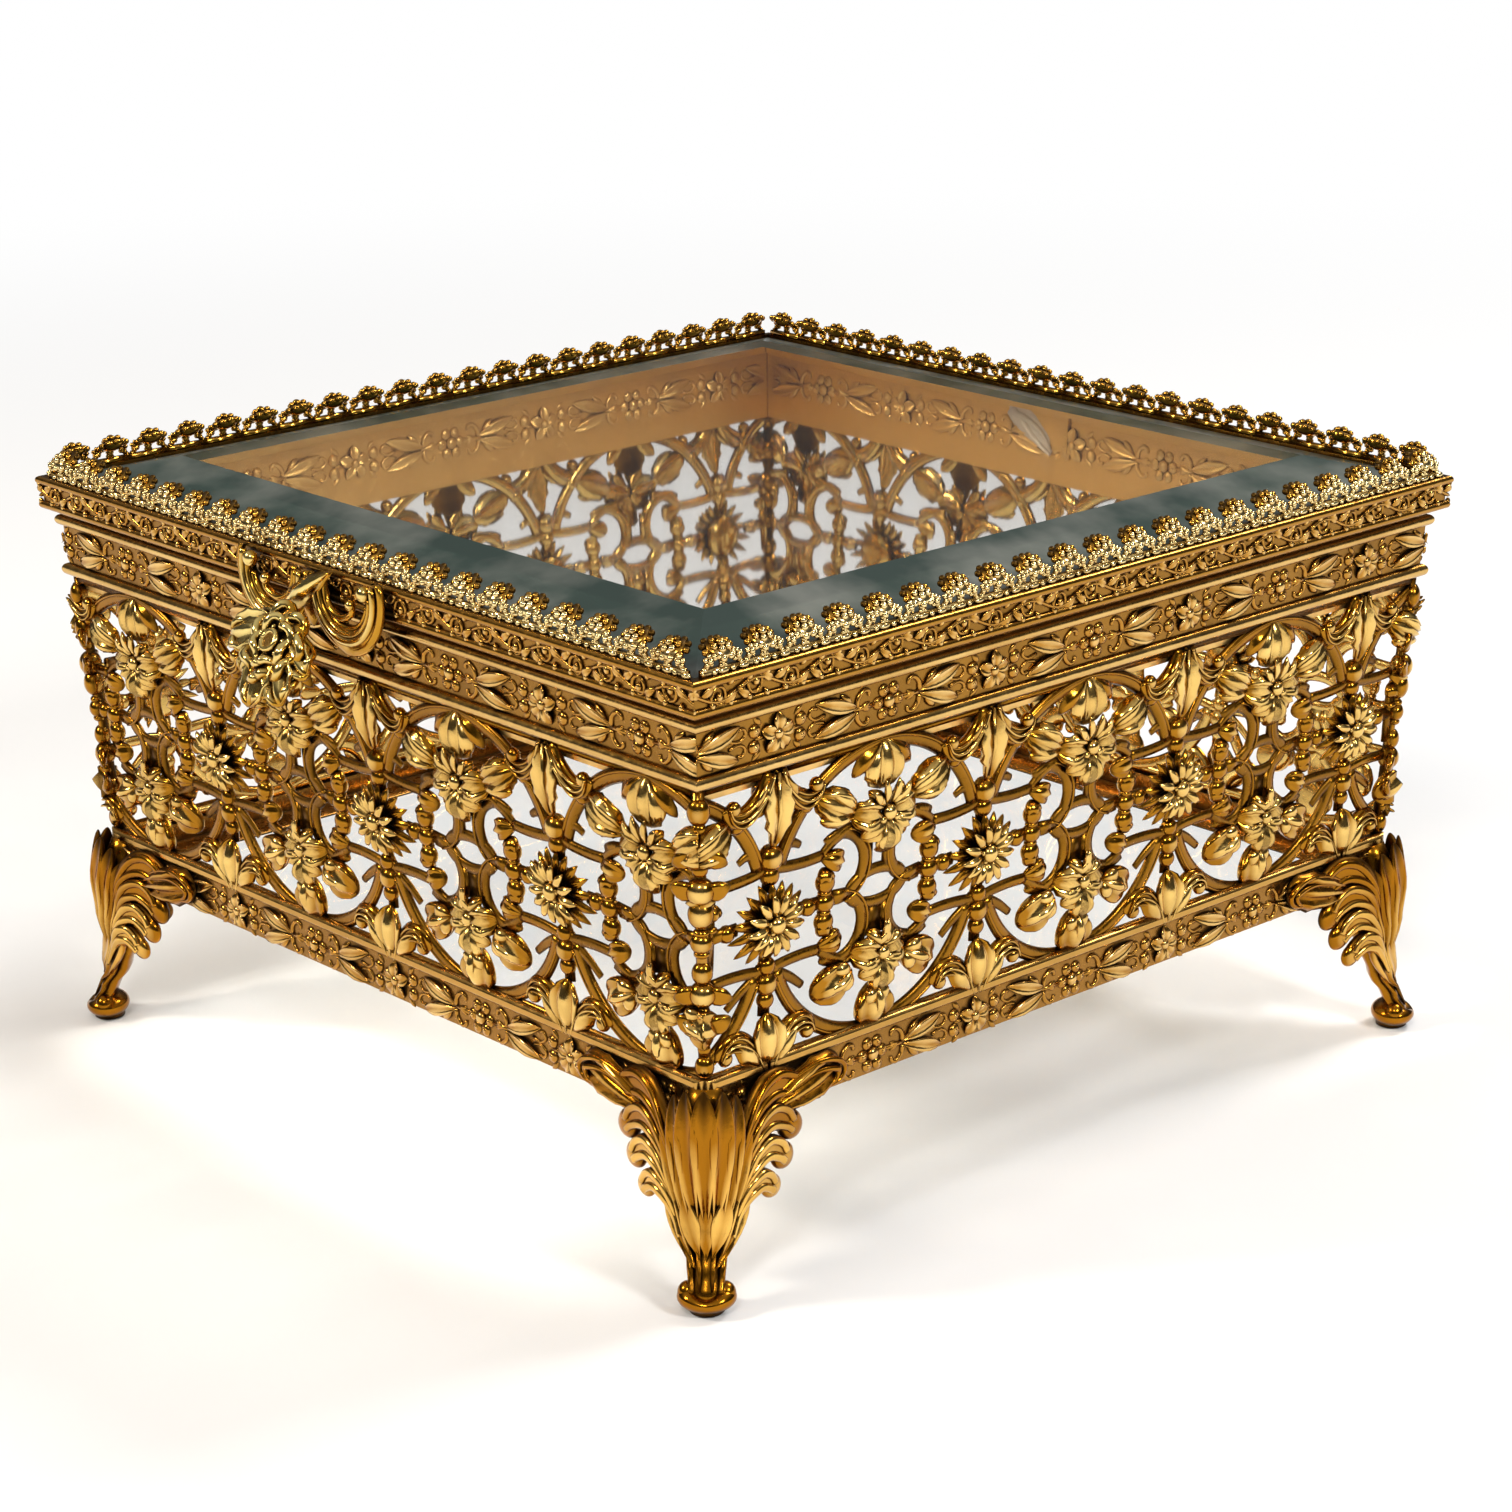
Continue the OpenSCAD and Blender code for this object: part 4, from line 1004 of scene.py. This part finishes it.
# The ground bevel is partly covered with a rough dark grey-green layer, painted shade for the dark inside seen through
# it, greyer in random clouds
painted_bevel_shade = blend(tree, cloudy, (0.03, 0.055, 0.045, 1), (0.24, 0.25, 0.22, 1))
bevel_shade_layer = add_node(tree, "BsdfPrincipled", {"Roughness": 0.3, "Base Color": painted_bevel_shade})
ground = add_node(tree, "MixShader", {0: maths(tree, "MULTIPLY", on_bevel, 0.6), 1: shader, 2: bevel_shade_layer})
let_light_in(tree, ground, tint)
give_material("glass_panel", clear)

# -------- crest galleries
# Four pierced strips of small beaded crests that lean in over the glass and hold
# it down. Each crest is a fan of granules on a stem between two slanting legs.
# The pale worn colour also gives the crest heads a painted highlight
crest_metal = gilt_metal("crest_gilt", (0.56, 0.28, 0.04), (1.0, 0.86, 0.44), (0.022, 0.011, 0.003), 0.16, relief=True,
                         crevice=0.0009)
crest_pitch = 6.45
crest = bmesh.new()
for row, count, radius, size in ((0, 1, 0.0, 0.6), (1, 6, 0.9, 0.48), (2, 10, 1.65, 0.48)):
    for k in range(count):
        angle = 2 * pi * (k + 0.25) / count
        place = (radius * 1.22 * cos(angle), radius * 0.98 * sin(angle), 1.05 - 0.26 * row * row)
        bead(crest, place, size, 0.9)
bead(crest, (0, 0, 0.0), 1.8, 0.45)
put(crest, placed((0, 2.7, -0.85)) @ spun(-60, "X"))
for s in (-1, 1):
    for k in range(4):
        bead(crest, (s * 0.34, 0.4 + 0.55 * k, 0.1), 0.34, 1, 1)
    for k in range(5):
        turn = radians(72 * k)
        bead(crest, (s * (2.15 + 0.55 * sin(turn)), 1.8 + 0.5 * cos(turn), 0.1), 0.38, 1, 1)
    bead(crest, (s * 2.15, 1.8, 0.35), 0.45, 1, 1)
    for k in range(3):
        bead(crest, (s * (2.5 + 0.3 * k), 1.2 - 0.4 * k, 0.0), 0.36 + 0.08 * (k % 2), 1, 1)
    rib(crest, [(s * 1.3, 2.3), (s * 2.9, 0.6)], 0.7, 0.6, sides=6)
rib(crest, [(0, 0.1), (0, 2.6)], 1.0, 0.6, sides=6)
block(crest, (0, 0.3, -0.15), (6.5, 1.0, 0.7))
for u, wide in ((0, 1.9), (-1.45, 0.9), (1.45, 0.9), (3.2, 1.7)):
    bmesh.ops.create_icosphere(crest, subdivisions=2, radius=0.5, matrix=placed((u, 0.3, 0.15), (wide, 0.9, 0.8)))
face_out(crest)
keep_relief(crest, -1.3, 0.2, back=0.6)
crest_mesh = keep_mesh(crest, "crest")
gallery_line = 0.0689
gallery = bmesh.new()
for k in range(21):
    add_copy(gallery, crest_mesh, (k - 10) * crest_pitch, 0, 0)
put(gallery, leaning_face(gallery_line, lid_high.z, 0))
mitre(gallery)
places = {side: on_casket(side) for side in turns}
finish_copies(gallery, places, "crests_", "lid", crest_metal, "crest_gallery_")

# -------- thumb-piece
# Two C-scrolls soldered to the lid's front with a leaf spray hanging from them; a
# hollow rivet holds the blossom on the spray.
thumb_metal = gilt_metal("thumb_gilt", (0.50, 0.25, 0.025), (1.0, 0.80, 0.30), (0.018, 0.008, 0.002), 0.16, relief=True,
                         crevice=0.0015)
plate_low, plate_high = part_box("thumb_scroll_plate")
thumb_x = (plate_low.x + plate_high.x) / 2
lid_front = 0.070
scrolls = bmesh.new()
for s in (1, -1):
    u, v = s * 8.2, 79.6
    turn_by = [radians(176 + 190 * k / 24) for k in range(25)]
    bowl = [(u + s * 6.3 * cos(angle), v + 6.4 * sin(angle), 0.1) for angle in turn_by]
    rib(scrolls, bowl, 4.0, 1.7, (0.35, 1.1, 0.4), sides=14)
    for ring, (radius, lift, wide) in enumerate(((7.6, 0.2, 1.5), (6.6, 0.7, 1.3), (5.7, 0.5, 1.1), (4.9, 0.2, 0.9))):
        line = []
        for k in range(29):
            angle = radians(172 + (220 - 16 * ring) * k / 28)
            swell = radius * (1 - 0.12 * (k / 28) ** 2)
            line.append((u + s * swell * cos(angle), v + swell * sin(angle), lift))
        rib(scrolls, line, wide, 1.3, (0.6, 1, 0.7))
    bead(scrolls, (u + s * 4.1, v + 0.6, 0.7), 1.1, 0.9, 3)
    hook = [(-5.0, 1.2, 0.2), (-4.2, -2.2, 0.3), (-1.6, -3.6, 0.4), (0.9, -2.8, 0.5), (1.3, -1.6, 0.5)]
    rib(scrolls, flow([(u + s * x, v + y, z) for x, y, z in hook], 5), 1.1, 1.2, (0.6, 1, 0.7))
    bead(scrolls, (u + s * 1.0, v - 1.5, 0.6), 0.8, 0.9)
petal(scrolls, (-5.5, 75.0, 0.4), 58, 13.0, 3.4, 1.5, (0.4, 0.8, 0.6), (1, 0.3), sides=20, rings=12)
petal(scrolls, (0, 80.8, -0.2), 180, 7.5, 5.0, 1.2, (0.4, 0.8, 0.3), sides=20, rings=12)
for v in scrolls.verts:
    v.co.y = min(v.co.y, lid_high.z / MM + 0.3)
keep_relief(scrolls, -0.4, 1.3)
face_out(scrolls)
put(scrolls, on_casket("front") @ placed((thumb_x, 0, 0)) @ leaning_face(lid_front + 0.0008, 0, 0))
finish_piece(scrolls, "thumb_scrolls", "lid", thumb_metal, ["thumb_scroll_plate"])

spray_place = on_casket("front") @ placed((thumb_x, -lid_front - 0.0016, 0.076)) @ spun(55, "X") @ spun(180, "Z")
spray_place = spray_place @ Matrix.Scale(MM, 4)


def ruffle(bm, root, turn, length, width, waves, thick):
    """Rolled and waved edge round a leaf, from its root and back"""
    edge = []
    for k in range(41):
        t = 2 * pi * k / 40
        wave = sin(waves * t)
        x = width / 2 * sin(t) * (1 + 0.16 * wave)
        edge.append(Vector((x, length / 2 * (1 - cos(t)) + 0.3 * wave, 0.5 * cos(waves * t))))
    place = placed(root) @ spun(-turn, "Z")
    rib(bm, [place @ point for point in edge], thick, thick, (0.5, 1.0, 0.5), sides=8)


def hang_on_lid(bm):
    """Lays leaves or blossom in front of the scrolls, no further out than the solids"""
    face_out(bm)
    put(bm, spray_place)
    front = min(v.co.y for v in bm.verts)
    put(bm, placed((0, max(0, cad_bounds[0][1] + 0.0001 - front), 0)))


spray = bmesh.new()
for turn, long, wide in ((74, 11.6, 5.6), (38, 9.4, 4.8), (6, 11.4, 5.4), (-24, 10.8, 5.2), (-52, 8.6, 4.4)):
    petal(spray, (0, 3.2, 0.3), turn, long, wide, 1.8, (0.68, 0.42, 0.8), (2, 0.5), droop=-0.5, cup=0.5, sides=28,
          rings=18, jag=0.08)
    ruffle(spray, (0, 3.2, 0.9), turn, long * 0.96, wide * 0.9, 5, 1.1)
    petal(spray, (0, 3.2, 0.9), turn, long * 0.7, 1.3, 1.4, (0.5, 0.7, 1.0))
keep_relief(spray, -0.2, 1.7)
hang_on_lid(spray)
finish_piece(spray, "thumb_leaves", "lid", thumb_metal, ["thumb_leaf_spray"])

flower = bmesh.new()
for k in range(6):
    petal(flower, (0, 6, 1.0), 60 * k, 5.0, 5.2, 1.6, (0.7, 0.4, 0.3), (1, 0.3), droop=-0.9, cup=0.5, sides=20,
          rings=12)
for radius, folds, lift, thick in ((4.7, 7, 2.1, 1.4), (3.0, 5, 2.8, 1.2)):
    rim = []
    for k in range(57):
        turn = 2 * pi * k / 56
        reach = radius * (1 + 0.13 * sin(folds * turn) + 0.05 * sin(3 * turn))
        rim.append((reach * sin(turn), 6 + reach * cos(turn), lift + 0.45 * cos(folds * turn)))
    rib(flower, rim, thick, thick, sides=10)
rib(flower, arc((0, 6), 1.3, 0, 360, 20, lift=3.2), 0.8, 1.0)
for k in range(7):
    turn = 2 * pi * k / 7
    bead(flower, (2.1 * sin(turn), 6 + 2.1 * cos(turn), 2.7), 0.45, 1, 1)
keep_relief(flower, 0.6, 3.0)
hang_on_lid(flower)
finish_piece(flower, "thumb_flower", "lid", thumb_metal, ["thumb_blossom"])
give_material("thumb_rivet", bead_metal)
